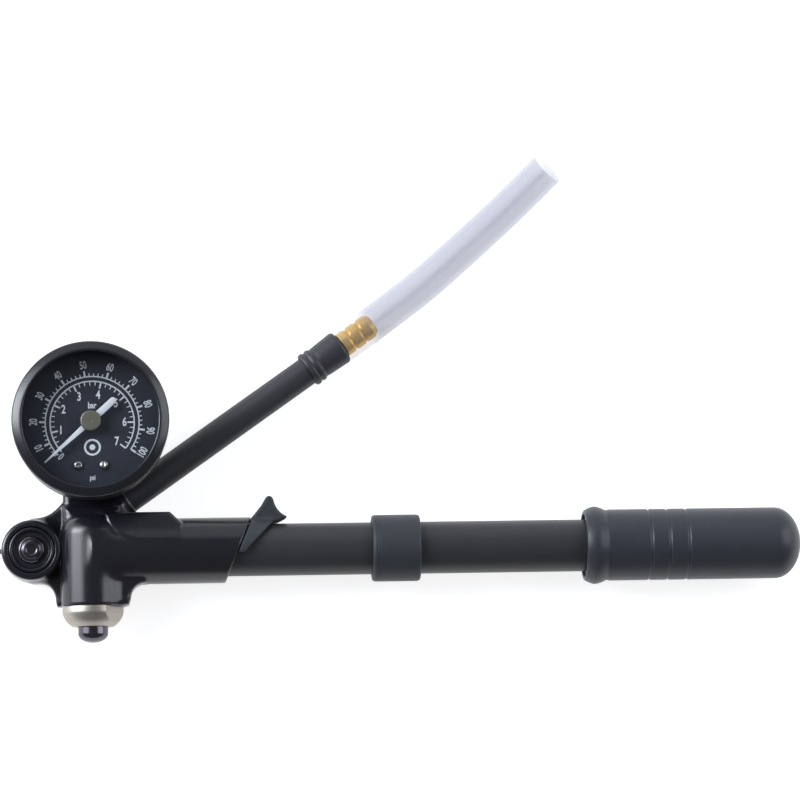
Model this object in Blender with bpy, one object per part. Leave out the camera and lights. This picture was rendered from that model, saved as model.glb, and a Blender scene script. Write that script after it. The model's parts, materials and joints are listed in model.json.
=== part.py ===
"""A hand pump for air-sprung shocks and forks, lying on its back.

Metres. The origin is on the head's flat back pad, under the point where the column's
axis crosses the barrel's axis. +X runs along the barrel to the handle, +Y points from
the barrel to the gauge, and +Z is the way the gauge faces.
"""

from math import ceil, cos, pi, radians, sin

import bpy
import bmesh
from mathutils import Matrix, Vector

MM = 0.001
GAP = 0.3 * MM  # between pieces that touch

# Barrel and column: their axes cross at the head.
AXIS_HEIGHT = 12.5 * MM
BARREL_RADIUS = 8.2 * MM
BARREL_BORE = 7.0 * MM
BARREL_START = 18.6 * MM
BARREL_END = 205.0 * MM

# Head casting.
COLUMN_RADIUS = 9.8 * MM
COLUMN_FOOT = -16.8 * MM
COLUMN_DOME = 1.5 * MM
WEB_FOOT = COLUMN_FOOT + 0.1 * MM
FOOT_REACH = 11.2 * MM  # of the web and the gusset at the column's foot
SLEEVE_RADIUS = 10.25 * MM
SLEEVE_CUT_LOW = (41.3 * MM, -10.25 * MM)
SLEEVE_CUT_HIGH = (49.6 * MM, 10.25 * MM)
SHELF_TOP = 11.8 * MM
SHELF_END = 24.0 * MM
NECK_HALF_WIDTH = 9.2 * MM
NECK_FRONT = 11.0 * MM
NECK_STEP = 14.6 * MM  # short of the gauge's case the neck stands higher
NECK_STEP_FRONT = 14.2 * MM
LUG_X = -18.8 * MM
LUG_Y = 0.7 * MM
LUG_RADIUS = 9.4 * MM
LUG_BACK = 2.0 * MM
LUG_FRONT = 16.5 * MM
LUG_CAP_RADIUS = 7.1 * MM
PASSAGE_RADIUS = 1.2 * MM
CHAMBER_RADIUS = 5.0 * MM
CHAMBER_TOP = 6.0 * MM
BLEED_SHOULDER = -7.2 * MM
THREAD_RADIUS = 7.5 * MM

# Gauge: a lower-back-mounted dial gauge.
GAUGE_Y = 39.6 * MM
GAUGE_RADIUS = 24.4 * MM
GAUGE_BACK = 12.2 * MM
GAUGE_FRONT = 33.2 * MM
CASE_RADIUS = 23.9 * MM
CASE_INNER = 23.0 * MM
CASE_FLOOR = 13.4 * MM
DIAL_OPENING = 20.0 * MM
DIAL_FRONT = 24.3 * MM
STEM_DROP = 13.6 * MM
STEM_Y = GAUGE_Y - STEM_DROP
STEM_RADIUS = 4.0 * MM
DIAL_SCREW_SPREAD = 4.0 * MM

# Gauge movement. The pinion carries the pointer and the sector drives it.
GEAR_RATIO = 6
GEAR_MODULE = 0.3 * MM
PINION_TEETH = 8
SECTOR_TOOTH_COUNT = 9
PINION_RADIUS = GEAR_MODULE * PINION_TEETH / 2
SECTOR_RADIUS = PINION_RADIUS * GEAR_RATIO
SECTOR_DIRECTION = radians(200)
PLATE_LOW = CASE_FLOOR + 2.5 * MM  # the movement's rear plate
PLATE_HIGH = PLATE_LOW + 0.8 * MM
COVER_LOW = PLATE_HIGH + 4.4 * MM
COVER_HIGH = COVER_LOW + 1.0 * MM
ARBOR_RADIUS = 0.6 * MM
POINTER_REST = radians(-132)  # clockwise from straight up

# Hose, its end fitting and the clear tube on it.
HOSE_HEIGHT = 6.05 * MM
HOSE_RADIUS = 4.6 * MM
HOSE_ANGLE = radians(35)
HOSE_EXIT = (11.0 * MM, 17.0 * MM)
HOSE_PORT_DEPTH = 6.0 * MM
BOOT_START = (68.2 * MM, 57.05 * MM)
BOOT_LENGTH = 13.4 * MM
BOOT_RADIUS = 5.65 * MM
BOOT_ANGLE = radians(35.6)
BARB_LENGTH = 12.4 * MM
TUBE_RADIUS = 5.6 * MM
TUBE_BORE = 4.25 * MM
CLEAR_TUBE_BENDS = (  # beyond the barb, which holds the tube straight
    (104.2 * MM, 83.3 * MM),
    (118.5 * MM, 95.6 * MM),
    (132.4 * MM, 108.2 * MM),
    (146.0 * MM, 121.4 * MM),
)

# Bleed valve.
NUT_RADIUS = 9.5 * MM
NUT_TOP = -17.1 * MM
NUT_BOTTOM = -23.3 * MM
NUT_FLATS = 16.0 * MM
NUT_TURN = radians(58)
BUTTON_RADIUS = 4.7 * MM
BUTTON_TIP = -28.3 * MM

# Hook saddle, collar band, handle.
BAND_START = 87.2 * MM
BAND_END = 102.2 * MM
BAND_RADIUS = 10.5 * MM
HANDLE_MOUTH = 154.0 * MM
HANDLE_FLANGE = 157.2 * MM
HANDLE_END = 222.6 * MM
FLANGE_RADIUS = 12.4 * MM
GRIP_RADIUS = 11.2 * MM
CORE_RADIUS = 9.6 * MM
CORE_BORE = 8.7 * MM
ROD_RADIUS = 3.0 * MM
PISTON_START = 26.5 * MM

FINE = 32  # facets round a large piece
COARSE = 20  # facets round a small one
COIL_STEPS = 8  # per turn of a spring
WIRE_SIDES = 5

FINISHES = {
    # name: (colour, roughness, metallic)
    "gloss_black": ((0.020, 0.020, 0.026), 0.18, 0.0),
    "satin_black": ((0.030, 0.030, 0.032), 0.35, 0.3),
    "matte_black": ((0.040, 0.044, 0.050), 0.62, 0.0),
    "grip": ((0.034, 0.040, 0.046), 0.70, 0.0),
    "rubber": ((0.024, 0.025, 0.027), 0.60, 0.0),
    "seal": ((0.015, 0.015, 0.016), 0.70, 0.0),
    "nickel": ((0.74, 0.71, 0.67), 0.28, 1.0),
    "dark_chrome": ((0.22, 0.20, 0.19), 0.15, 1.0),
    "steel": ((0.60, 0.60, 0.61), 0.30, 1.0),
    "aluminium": ((0.80, 0.81, 0.82), 0.35, 1.0),
    "brass": ((0.72, 0.52, 0.24), 0.28, 1.0),
    "bronze": ((0.55, 0.40, 0.24), 0.35, 1.0),
    "dial": ((0.022, 0.026, 0.036), 0.55, 0.0),
    "white_print": ((0.85, 0.86, 0.88), 0.45, 0.0),
    "hub": ((0.30, 0.29, 0.24), 0.40, 0.8),
    "lens": ((0.95, 0.97, 1.00), 0.03, 0.0),
    "clear_hose": ((0.80, 0.82, 0.90), 0.15, 0.0),
}


def clear_scene():
    for obj in list(bpy.data.objects):
        bpy.data.objects.remove(obj, do_unlink=True)


def finish(name):
    """The material of this name, made the first time that it is asked for."""
    found = bpy.data.materials.get(name)
    if found:
        return found
    colour, roughness, metallic = FINISHES[name]
    made = bpy.data.materials.new(name)
    made.use_nodes = True
    shader = made.node_tree.nodes["Principled BSDF"]
    shader.inputs["Base Color"].default_value = (*colour, 1.0)
    shader.inputs["Roughness"].default_value = roughness
    shader.inputs["Metallic"].default_value = metallic
    return made


def empty(name, location, turn=(0, 0, 0), parent=None):
    """A frame for parts. Their own Z runs along the empty's Z."""
    made = bpy.data.objects.new(name, None)
    made.empty_display_size = 0.01
    made.location = location
    made.rotation_euler = turn
    made.parent = parent
    bpy.context.collection.objects.link(made)
    return made


def add_object(name, mesh, material, parent):
    mesh.shade_smooth()
    mesh.set_sharp_from_angle(angle=radians(32))
    obj = bpy.data.objects.new(name, mesh)
    obj.data.materials.append(finish(material))
    obj.parent = parent
    bpy.context.collection.objects.link(obj)
    return obj


def mesh_from(bm, name):
    bmesh.ops.recalc_face_normals(bm, faces=bm.faces)
    mesh = bpy.data.meshes.new(name)
    bm.to_mesh(mesh)
    bm.free()
    return mesh


def turned(name, outline, material, parent, facets=COARSE, offset=(0, 0)):
    """A piece turned about Z (moved by offset) from its closed (radius, height) outline."""
    bm = bmesh.new()
    rings = []
    for radius, height in outline:
        around = facets if radius > 1e-7 else 1
        ring = []
        for i in range(around):
            angle = 2 * pi * (i + 0.5) / facets
            x = offset[0] + radius * cos(angle)
            y = offset[1] + radius * sin(angle)
            ring.append(bm.verts.new((x, y, height)))
        rings.append(ring)
    for ring, following in zip(rings, rings[1:] + rings[:1]):
        for i in range(facets):
            j = (i + 1) % facets
            if len(ring) > 1 and len(following) > 1:
                bm.faces.new((ring[i], ring[j], following[j], following[i]))
            elif len(ring) > 1:
                bm.faces.new((ring[i], ring[j], following[0]))
            elif len(following) > 1:
                bm.faces.new((ring[0], following[j], following[i]))
    return add_object(name, mesh_from(bm, name), material, parent)


def ring(name, inner, outer, low, high, material, parent, facets=COARSE):
    outline = [(outer, low), (outer, high), (inner, high), (inner, low)]
    return turned(name, outline, material, parent, facets)


def disc(name, radius, low, high, material, parent, facets=COARSE, offset=(0, 0)):
    outline = [(0, low), (radius, low), (radius, high), (0, high)]
    return turned(name, outline, material, parent, facets, offset)


def torus(name, major, minor, height, material, parent, facets=COARSE, sides=8):
    steps = [2 * pi * i / sides for i in range(sides)]
    outline = [(major + minor * cos(a), height + minor * sin(a)) for a in steps]
    return turned(name, outline, material, parent, facets)


def prism(name, outline, low, high, material, parent=None):
    """A flat (x, y) outline extruded from low to high along Z."""
    bm = bmesh.new()
    face = bm.faces.new([bm.verts.new((x, y, low)) for x, y in outline])
    grown = bmesh.ops.extrude_face_region(bm, geom=[face])["geom"]
    lifted = [part for part in grown if isinstance(part, bmesh.types.BMVert)]
    bmesh.ops.translate(bm, verts=lifted, vec=(0, 0, high - low))
    return add_object(name, mesh_from(bm, name), material, parent)


def combine(target, helper, operation):
    """Adds, cuts or keeps the helper's shape, and hides the helper."""
    helper.hide_render = True
    helper.display_type = "WIRE"
    modifier = target.modifiers.new(helper.name, "BOOLEAN")
    modifier.operation = operation
    modifier.solver = "EXACT"
    modifier.object = helper


def add(target, *helpers):
    for helper in helpers:
        combine(target, helper, "UNION")


def cut(target, *helpers):
    for helper in helpers:
        combine(target, helper, "DIFFERENCE")


def bevel(obj, width, segments=2):
    modifier = obj.modifiers.new("round_edges", "BEVEL")
    modifier.width = width
    modifier.segments = segments
    modifier.limit_method = "ANGLE"


def arc(centre, radius, start, end, steps):
    """Points on a round stretch of an outline, angles from +X in radians."""
    angles = [start + (end - start) * i / steps for i in range(steps + 1)]
    return [(centre[0] + radius * cos(a), centre[1] + radius * sin(a)) for a in angles]


def smooth_curve(route, spacing):
    """Points about this far apart on one smooth (Catmull-Rom) curve through the route."""
    route = [Vector(p) for p in route]
    padded = [2 * route[0] - route[1]] + route + [2 * route[-1] - route[-2]]
    points = [route[0]]
    for a, b, c, d in zip(padded, padded[1:], padded[2:], padded[3:]):
        steps = max(1, ceil((c - b).length / spacing))
        for i in range(1, steps + 1):
            t = i / steps
            points.append(
                0.5
                * (
                    2 * b
                    + (c - a) * t
                    + (2 * a - 5 * b + 4 * c - d) * t**2
                    + (3 * b - a - 3 * c + d) * t**3
                )
            )
    return points


def swept(name, points, loops, material, parent=None):
    """A tube along points that lie level. Each loop is a closed (side, up) section.

    One loop makes a solid bar. With two, the second is the bore.
    """
    bm = bmesh.new()
    stations = []
    for i, point in enumerate(points):
        along = points[min(i + 1, len(points) - 1)] - points[max(i - 1, 0)]
        side = Vector((along.y, -along.x, 0)).normalized()
        up = Vector((0, 0, 1))
        stations.append([[bm.verts.new(point + side * s + up * u) for s, u in loop] for loop in loops])
    for station, following in zip(stations, stations[1:]):
        for near, far in zip(station, following):
            for j in range(len(near)):
                k = (j + 1) % len(near)
                bm.faces.new((near[j], near[k], far[k], far[j]))
    for outside, *bore in (stations[0], stations[-1]):
        if not bore:
            bm.faces.new(outside)
            continue
        for j in range(len(outside)):
            k = (j + 1) % len(outside)
            bm.faces.new((outside[j], outside[k], bore[0][k], bore[0][j]))
    return add_object(name, mesh_from(bm, name), material, parent)


def circle(radius, sides):
    angles = [2 * pi * i / sides for i in range(sides)]
    return [(radius * cos(a), radius * sin(a)) for a in angles]


def cord(name, points, radius, material, resolution=3):
    """A plain tube with filled ends along the points."""
    curve = bpy.data.curves.new(name, "CURVE")
    curve.dimensions = "3D"
    curve.bevel_depth = radius
    curve.bevel_resolution = resolution
    curve.use_fill_caps = True
    spline = curve.splines.new("POLY")
    spline.points.add(len(points) - 1)
    for spot, point in zip(spline.points, points):
        spot.co = (*point, 1.0)
    obj = bpy.data.objects.new(name, curve)
    obj.data.materials.append(finish(material))
    bpy.context.collection.objects.link(obj)
    return obj


def coil(name, radius, wire, low, high, turns, material, parent):
    """A compression spring about Z. The wire's middle stays between low and high."""
    steps = turns * COIL_STEPS
    round_wire = [2 * pi * k / WIRE_SIDES for k in range(WIRE_SIDES)]
    up = Vector((0, 0, 1))
    bm = bmesh.new()
    rings = []
    for i in range(steps + 1):
        angle = 2 * pi * i / COIL_STEPS
        out = Vector((cos(angle), sin(angle), 0))
        middle = out * radius + up * (low + (high - low) * i / steps)
        rings.append([bm.verts.new(middle + wire * (out * cos(a) + up * sin(a))) for a in round_wire])
    for near, far in zip(rings, rings[1:]):
        for k in range(WIRE_SIDES):
            m = (k + 1) % WIRE_SIDES
            bm.faces.new((near[k], near[m], far[m], far[k]))
    bm.faces.new(rings[0])
    bm.faces.new(rings[-1])
    return add_object(name, mesh_from(bm, name), material, parent)


def hose_point(distance):
    """A point on the hose port's axis, this far from where the hose leaves the head."""
    x = HOSE_EXIT[0] + distance * cos(HOSE_ANGLE)
    y = HOSE_EXIT[1] + distance * sin(HOSE_ANGLE)
    return Vector((x, y, HOSE_HEIGHT))


def boot_point(distance):
    """A point on the hose end fitting's axis, this far from the boot's start."""
    x = BOOT_START[0] + distance * cos(BOOT_ANGLE)
    y = BOOT_START[1] + distance * sin(BOOT_ANGLE)
    return Vector((x, y, HOSE_HEIGHT))


def sleeve_end_outline():
    """Everything beyond the sleeve's slanted end."""
    low = Vector(SLEEVE_CUT_LOW)
    along = Vector(SLEEVE_CUT_HIGH) - low
    bottom = low - along * 0.3
    top = low + along * 1.4
    far = 80 * MM
    return [tuple(bottom), (far, bottom.y), (far, top.y), tuple(top)]


def web_outline():
    """The flat web between the lug and the column, with its two hollow flanks."""
    upper = arc((-21.6 * MM, 25.3 * MM), 15.4 * MM, radians(-78), radians(-38), 6)
    lower = arc((-18.7 * MM, -15 * MM), 7.2 * MM, radians(0), radians(85), 6)
    foot = [(-FOOT_REACH, WEB_FOOT), (0, WEB_FOOT)]
    return [(0, 11 * MM)] + upper[::-1] + lower[::-1] + foot


def neck_outline():
    """The arm behind the gauge, with a round end about the gauge's stem."""
    end = arc((0, STEM_Y), NECK_HALF_WIDTH, 0, pi, 12)
    left = -NECK_HALF_WIDTH
    return end + [(left, -4 * MM), (NECK_HALF_WIDTH, -4 * MM)]


def gusset_outline():
    """The hollow corner between the sleeve's underside and the column's foot."""
    curve = arc((16.6 * MM, -14.8 * MM), 4.8 * MM, radians(180), radians(90), 6)
    return [(0, 0), (0, WEB_FOOT), (FOOT_REACH, WEB_FOOT), *curve, (curve[-1][0], 0)]


def head_casting(axes):
    """The casting: column, barrel sleeve, neck behind the gauge, lug, and hose boss."""
    column = turned(
        "head_casting",
        [(0, COLUMN_FOOT), (COLUMN_RADIUS, COLUMN_FOOT)]
        + arc((0, COLUMN_DOME), COLUMN_RADIUS, 0, radians(75), 5)
        + [(0, COLUMN_DOME + COLUMN_RADIUS)],
        "gloss_black",
        axes["column"],
        FINE,
    )
    sleeve = disc("add_sleeve", SLEEVE_RADIUS, 0, 60 * MM, "gloss_black", axes["barrel"], FINE)
    trim = prism("cut_sleeve_end", sleeve_end_outline(), -5 * MM, 30 * MM, "gloss_black")
    cut(sleeve, trim)
    shelf_outline = [
        (8 * MM, 5 * MM),
        (SHELF_END + 4 * MM, 5 * MM),
        (SHELF_END + 2 * MM, SHELF_TOP - 1.6 * MM),
        (SHELF_END, SHELF_TOP),
        (8 * MM, SHELF_TOP),
    ]
    shelf = prism("add_shelf", shelf_outline, 5.5 * MM, 21.0 * MM, "gloss_black")
    neck = prism("add_neck", neck_outline(), 0.6 * MM, NECK_FRONT, "gloss_black")
    bevel(neck, 1.5 * MM)
    half = NECK_HALF_WIDTH - 0.15 * MM
    step_outline = [
        (-half, -3 * MM),
        (half, -3 * MM),
        (half, NECK_STEP),
        (-half, NECK_STEP),
    ]
    neck_step = prism("add_neck_step", step_outline, 1.2 * MM, NECK_STEP_FRONT, "gloss_black")
    bevel(neck_step, 1.5 * MM)
    web = prism("add_web", web_outline(), 3.0 * MM, 10.5 * MM, "gloss_black")
    lug = disc(
        "add_lug", LUG_RADIUS, LUG_BACK, LUG_FRONT, "gloss_black", None, FINE, (LUG_X, LUG_Y)
    )
    bevel(lug, 1.2 * MM)
    nub_x = LUG_X - LUG_RADIUS - 0.7 * MM
    nub_outline = [
        (LUG_X, LUG_Y + 4 * MM),
        (nub_x, LUG_Y + 0.5 * MM),
        (nub_x, LUG_Y - 0.5 * MM),
        (LUG_X, LUG_Y - 4 * MM),
    ]
    nub = prism("add_nub", nub_outline, 8 * MM, 12 * MM, "gloss_black")
    gusset = prism("add_gusset", gusset_outline(), 7 * MM, 18 * MM, "gloss_black")
    pad_outline = [(-8 * MM, -13 * MM), (9 * MM, -13 * MM), (9 * MM, 12 * MM), (-8 * MM, 12 * MM)]
    pad = prism("add_back_pad", pad_outline, 0, 8 * MM, "gloss_black")
    boss = disc("add_hose_boss", 5.9 * MM, -12 * MM, 0, "gloss_black", axes["hose"], COARSE)
    add(column, sleeve, shelf, neck, neck_step, web, lug, nub, gusset, pad, boss)
    cut_head_bores(column, axes)
    return column


def cut_head_bores(casting, axes):
    """The barrel socket, the bleed valve's bore, the chamber, and the ports into it."""
    barrel = axes["barrel"]
    socket = disc(
        "cut_barrel_socket", BARREL_RADIUS + GAP, 17 * MM, 70 * MM, "steel", barrel, FINE
    )
    spring_well = disc("cut_spring_well", 3.0 * MM, 12.5 * MM, 18 * MM, "steel", barrel)
    inlet = disc("cut_inlet", PASSAGE_RADIUS, 0, 14 * MM, "steel", barrel, 12)
    column = axes["column"]
    bleed_outline = [
        (0, COLUMN_FOOT - 2 * MM),
        (THREAD_RADIUS + GAP, COLUMN_FOOT - 2 * MM),
        (THREAD_RADIUS + GAP, -9.9 * MM),
        (5.8 * MM, -9.9 * MM),
        (5.8 * MM, BLEED_SHOULDER),
        (CHAMBER_RADIUS, BLEED_SHOULDER),
        (CHAMBER_RADIUS, CHAMBER_TOP),
        (0, CHAMBER_TOP),
    ]
    bleed = turned("cut_bleed_bore", bleed_outline, "steel", column)
    stem_port = disc(
        "cut_stem_port", STEM_RADIUS + GAP, 2.6 * MM, 15 * MM, "steel", None, COARSE, (0, STEM_Y)
    )
    gauge_axis = empty("gauge_passage_axis", (0, 0, 8.4 * MM), (-pi / 2, 0, 0))
    gauge_passage = disc(
        "cut_gauge_passage", PASSAGE_RADIUS, 2 * MM, STEM_Y, "steel", gauge_axis, 12
    )
    hose = axes["hose"]
    port_outline = [
        (0, -22 * MM),
        (PASSAGE_RADIUS, -22 * MM),
        (PASSAGE_RADIUS, -12 * MM),
        (2.6 * MM, -12 * MM),
        (2.6 * MM, -HOSE_PORT_DEPTH),
        (HOSE_RADIUS + GAP, -HOSE_PORT_DEPTH),
        (HOSE_RADIUS + GAP, 3 * MM),
        (0, 3 * MM),
    ]
    hose_port = turned("cut_hose_port", port_outline, "steel", hose)
    cross = disc(
        "cut_hose_cross_passage",
        PASSAGE_RADIUS,
        HOSE_HEIGHT,
        AXIS_HEIGHT,
        "steel",
        None,
        12,
        (-3.5 * MM, HOSE_EXIT[1] - 14.5 * MM * sin(HOSE_ANGLE) / cos(HOSE_ANGLE)),
    )
    lug_outline = [
        (0, LUG_BACK + 3 * MM),
        (2.1 * MM, LUG_BACK + 3 * MM),
        (2.1 * MM, LUG_FRONT - 1.5 * MM),
        (LUG_CAP_RADIUS + GAP, LUG_FRONT - 1.5 * MM),
        (LUG_CAP_RADIUS + GAP, LUG_FRONT + 2 * MM),
        (0, LUG_FRONT + 2 * MM),
    ]
    lug_recess = turned("cut_lug_recess", lug_outline, "steel", None, FINE, (LUG_X, LUG_Y))
    cut(casting, socket, spring_well, inlet, bleed, stem_port, gauge_passage)
    cut(casting, hose_port, cross, lug_recess)


def lug_fittings():
    """The dished cap in the lug and the socket-head screw that holds it."""
    low = LUG_FRONT - 1.5 * MM + GAP
    cap_outline = [
        (2.1 * MM, low),
        (LUG_CAP_RADIUS, low),
        (LUG_CAP_RADIUS, low + 1.1 * MM),
        (LUG_CAP_RADIUS - 0.5 * MM, low + 1.4 * MM),
        (LUG_CAP_RADIUS - 1.4 * MM, low + 0.9 * MM),
        (2.1 * MM, low + 0.7 * MM),
    ]
    turned("lug_cap", cap_outline, "gloss_black", None, FINE, (LUG_X, LUG_Y))
    seat = low + 0.9 * MM + GAP
    screw_outline = [
        (0, LUG_BACK + 3.5 * MM),
        (1.8 * MM, LUG_BACK + 3.5 * MM),
        (1.8 * MM, seat),
        (4.2 * MM, seat),
        (4.1 * MM, seat + 0.8 * MM),
        (3.3 * MM, seat + 1.5 * MM),
        (1.7 * MM, seat + 1.8 * MM),
        (1.5 * MM, seat + 0.4 * MM),
        (0, seat + 0.4 * MM),
    ]
    turned("lug_screw", screw_outline, "dark_chrome", None, COARSE, (LUG_X, LUG_Y))


def barrel_and_trim(axes):
    """The barrel, its seal, the collar band, and the gland that guides the rod."""
    barrel = axes["barrel"]
    ring("barrel_tube", BARREL_BORE, BARREL_RADIUS, BARREL_START, BARREL_END, "satin_black", barrel, FINE)
    ring("barrel_seal", 6.0 * MM, 8.1 * MM, 17.3 * MM, BARREL_START - GAP, "seal", barrel)
    inner = BARREL_RADIUS + GAP
    band_outline = [
        (inner, BAND_START),
        (BAND_RADIUS - 0.7 * MM, BAND_START),
        (BAND_RADIUS, BAND_START + 0.7 * MM),
        (BAND_RADIUS, BAND_END - 0.7 * MM),
        (BAND_RADIUS - 0.7 * MM, BAND_END),
        (inner, BAND_END),
    ]
    turned("collar_band", band_outline, "matte_black", barrel, FINE)
    seat = BARREL_END + GAP
    gland_outline = [
        (ROD_RADIUS + 0.2 * MM, BARREL_END - 8 * MM),
        (BARREL_BORE - GAP, BARREL_END - 8 * MM),
        (BARREL_BORE - GAP, seat),
        (BARREL_RADIUS, seat),
        (BARREL_RADIUS, seat + 2.4 * MM),
        (4.8 * MM, seat + 2.4 * MM),
        (4.8 * MM, seat - 0.4 * MM),
        (ROD_RADIUS + 0.2 * MM, seat - 0.4 * MM),
    ]
    turned("barrel_gland", gland_outline, "brass", barrel)
    ring("rod_seal", ROD_RADIUS + 0.1 * MM, 4.5 * MM, seat, seat + 1.8 * MM, "seal", barrel)


def check_valve(axes):
    """The valve in the barrel's foot that keeps the charge in the head."""
    barrel = axes["barrel"]
    start = BARREL_START + GAP
    step = start + 3.6 * MM
    end = start + 6.0 * MM
    body_outline = [
        (2.6 * MM, start),
        (BARREL_BORE - GAP, start),
        (BARREL_BORE - GAP, end),
        (1.3 * MM, end),
        (1.3 * MM, step),
        (2.6 * MM, step),
    ]
    turned("check_valve_body", body_outline, "brass", barrel)
    mover = empty("check_lift_axis", (0, 0, 0), (0, 0, 0), barrel)
    disc("check_poppet", 2.3 * MM, step - GAP - 1.6 * MM, step - GAP, "seal", mover, 16)
    low = 12.5 * MM + GAP + 0.25 * MM
    high = step - 2 * GAP - 1.6 * MM - 0.25 * MM
    coil("check_spring", 1.7 * MM, 0.25 * MM, low, high, 5, "steel", barrel)


def bleed_valve(axes):
    """The nut under the column, the button in it, and the sprung valve that it opens."""
    column = axes["column"]
    seat_low = -9.6 * MM
    seat_high = BLEED_SHOULDER - GAP
    ring("bleed_seat", 1.9 * MM, 5.5 * MM, seat_low, seat_high, "brass", column)
    lip = NUT_BOTTOM + 1.8 * MM
    nut_outline = [
        (BUTTON_RADIUS + 0.15 * MM, NUT_BOTTOM),
        (6.5 * MM, NUT_BOTTOM),
        (8.2 * MM, NUT_BOTTOM + 1.5 * MM),
        (9.1 * MM, NUT_BOTTOM + 3.0 * MM),
        (NUT_RADIUS, NUT_BOTTOM + 4.2 * MM),
        (NUT_RADIUS, NUT_TOP),
        (THREAD_RADIUS, NUT_TOP),
        (THREAD_RADIUS, seat_low - GAP),
        (5.9 * MM, seat_low - GAP),
        (5.9 * MM, lip),
        (BUTTON_RADIUS + 0.15 * MM, lip),
    ]
    nut = turned("bleed_nut", nut_outline, "nickel", column, FINE)
    flats_axis = empty("nut_flats_axis", (0, 0, 0), (0, 0, NUT_TURN), column)
    for side in (-1, 1):
        near = side * NUT_FLATS / 2
        far = side * NUT_RADIUS * 2
        wide = NUT_RADIUS * 2
        outline = [(-wide, near), (wide, near), (wide, far), (-wide, far)]
        name = f"cut_nut_flat_{1 if side > 0 else 2}"
        high = COLUMN_FOOT - 0.25 * MM
        cut(nut, prism(name, outline, NUT_BOTTOM - 2 * MM, high, "nickel", flats_axis))
    mover = empty("bleed_press_axis", (0, 0, 0), (0, 0, 0), column)
    dome = arc((0, BUTTON_TIP + 2.9 * MM), BUTTON_RADIUS, radians(-90), 0, 6)
    squash = 2.9 * MM / BUTTON_RADIUS
    dome = [(r, BUTTON_TIP + 2.9 * MM + (h - BUTTON_TIP - 2.9 * MM) * squash) for r, h in dome]
    shoulder = lip + GAP
    button_outline = (
        [(0, BUTTON_TIP)]
        + dome[1:]
        + [
            (BUTTON_RADIUS, shoulder),
            (5.5 * MM, shoulder),
            (5.5 * MM, shoulder + 1.2 * MM),
            (1.5 * MM, shoulder + 1.2 * MM),
            (1.5 * MM, seat_high + 1.2 * MM),
            (3.0 * MM, seat_high + 1.2 * MM),
            (3.0 * MM, seat_high + 2.2 * MM),
            (0, seat_high + 2.2 * MM),
        ]
    )
    turned("bleed_button", button_outline, "dark_chrome", mover)
    ring("bleed_seal", 1.75 * MM, 2.9 * MM, seat_high + GAP, seat_high + 1.2 * MM - GAP, "seal", mover)
    wire = 0.35 * MM
    low = shoulder + 1.2 * MM + GAP + wire
    coil("bleed_spring", 4.2 * MM, wire, low, seat_low - GAP - wire, 5, "steel", column)


def hook_saddle():
    """The saddle at the sleeve's slanted end, with the fin that a thumb or strap hooks on."""
    end = Vector(SLEEVE_CUT_HIGH) - Vector(SLEEVE_CUT_LOW)
    past = Vector((end.y, -end.x)).normalized() * GAP

    def on_sleeve_end(y):
        share = (y - SLEEVE_CUT_LOW[1]) / end.y
        return tuple(Vector(SLEEVE_CUT_LOW) + end * share + past)

    front = (56.0 * MM, 8.2 * MM)
    saddle_outline = [
        on_sleeve_end(-1.2 * MM),
        (47.3 * MM, -1.2 * MM),
        front,
        (56.5 * MM, 11 * MM),
        on_sleeve_end(11 * MM),
    ]
    apex = (55.2 * MM, 15.4 * MM)
    flank = arc((63.4 * MM, 16.6 * MM), 6.9 * MM, radians(188), radians(248), 6)
    fin_outline = [
        on_sleeve_end(4 * MM),
        (52.0 * MM, 4 * MM),
        front,
        (58.0 * MM, 8.5 * MM),
        (60.3 * MM, 9.7 * MM),
        *flank[::-1],
        *arc(apex, 1.3 * MM, radians(10), radians(150), 5),
        (52.6 * MM, 13.6 * MM),
        on_sleeve_end(10.4 * MM),
    ]
    saddle = prism("hook_saddle", saddle_outline, 1 * MM, 24 * MM, "matte_black")
    axis = empty("hook_axis", (0, 0, AXIS_HEIGHT), (0, pi / 2, 0))
    round_off = disc("keep_hook_round", 9.9 * MM, 40 * MM, 70 * MM, "matte_black", axis, FINE)
    combine(saddle, round_off, "INTERSECT")
    half = 3.4 * MM
    fin = prism("add_hook_fin", fin_outline, AXIS_HEIGHT - half, AXIS_HEIGHT + half, "matte_black")
    add(saddle, fin)
    clearance = disc(
        "cut_hook_bore", BARREL_RADIUS + GAP, 30 * MM, 80 * MM, "matte_black", axis, FINE
    )
    cut(saddle, clearance)


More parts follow.
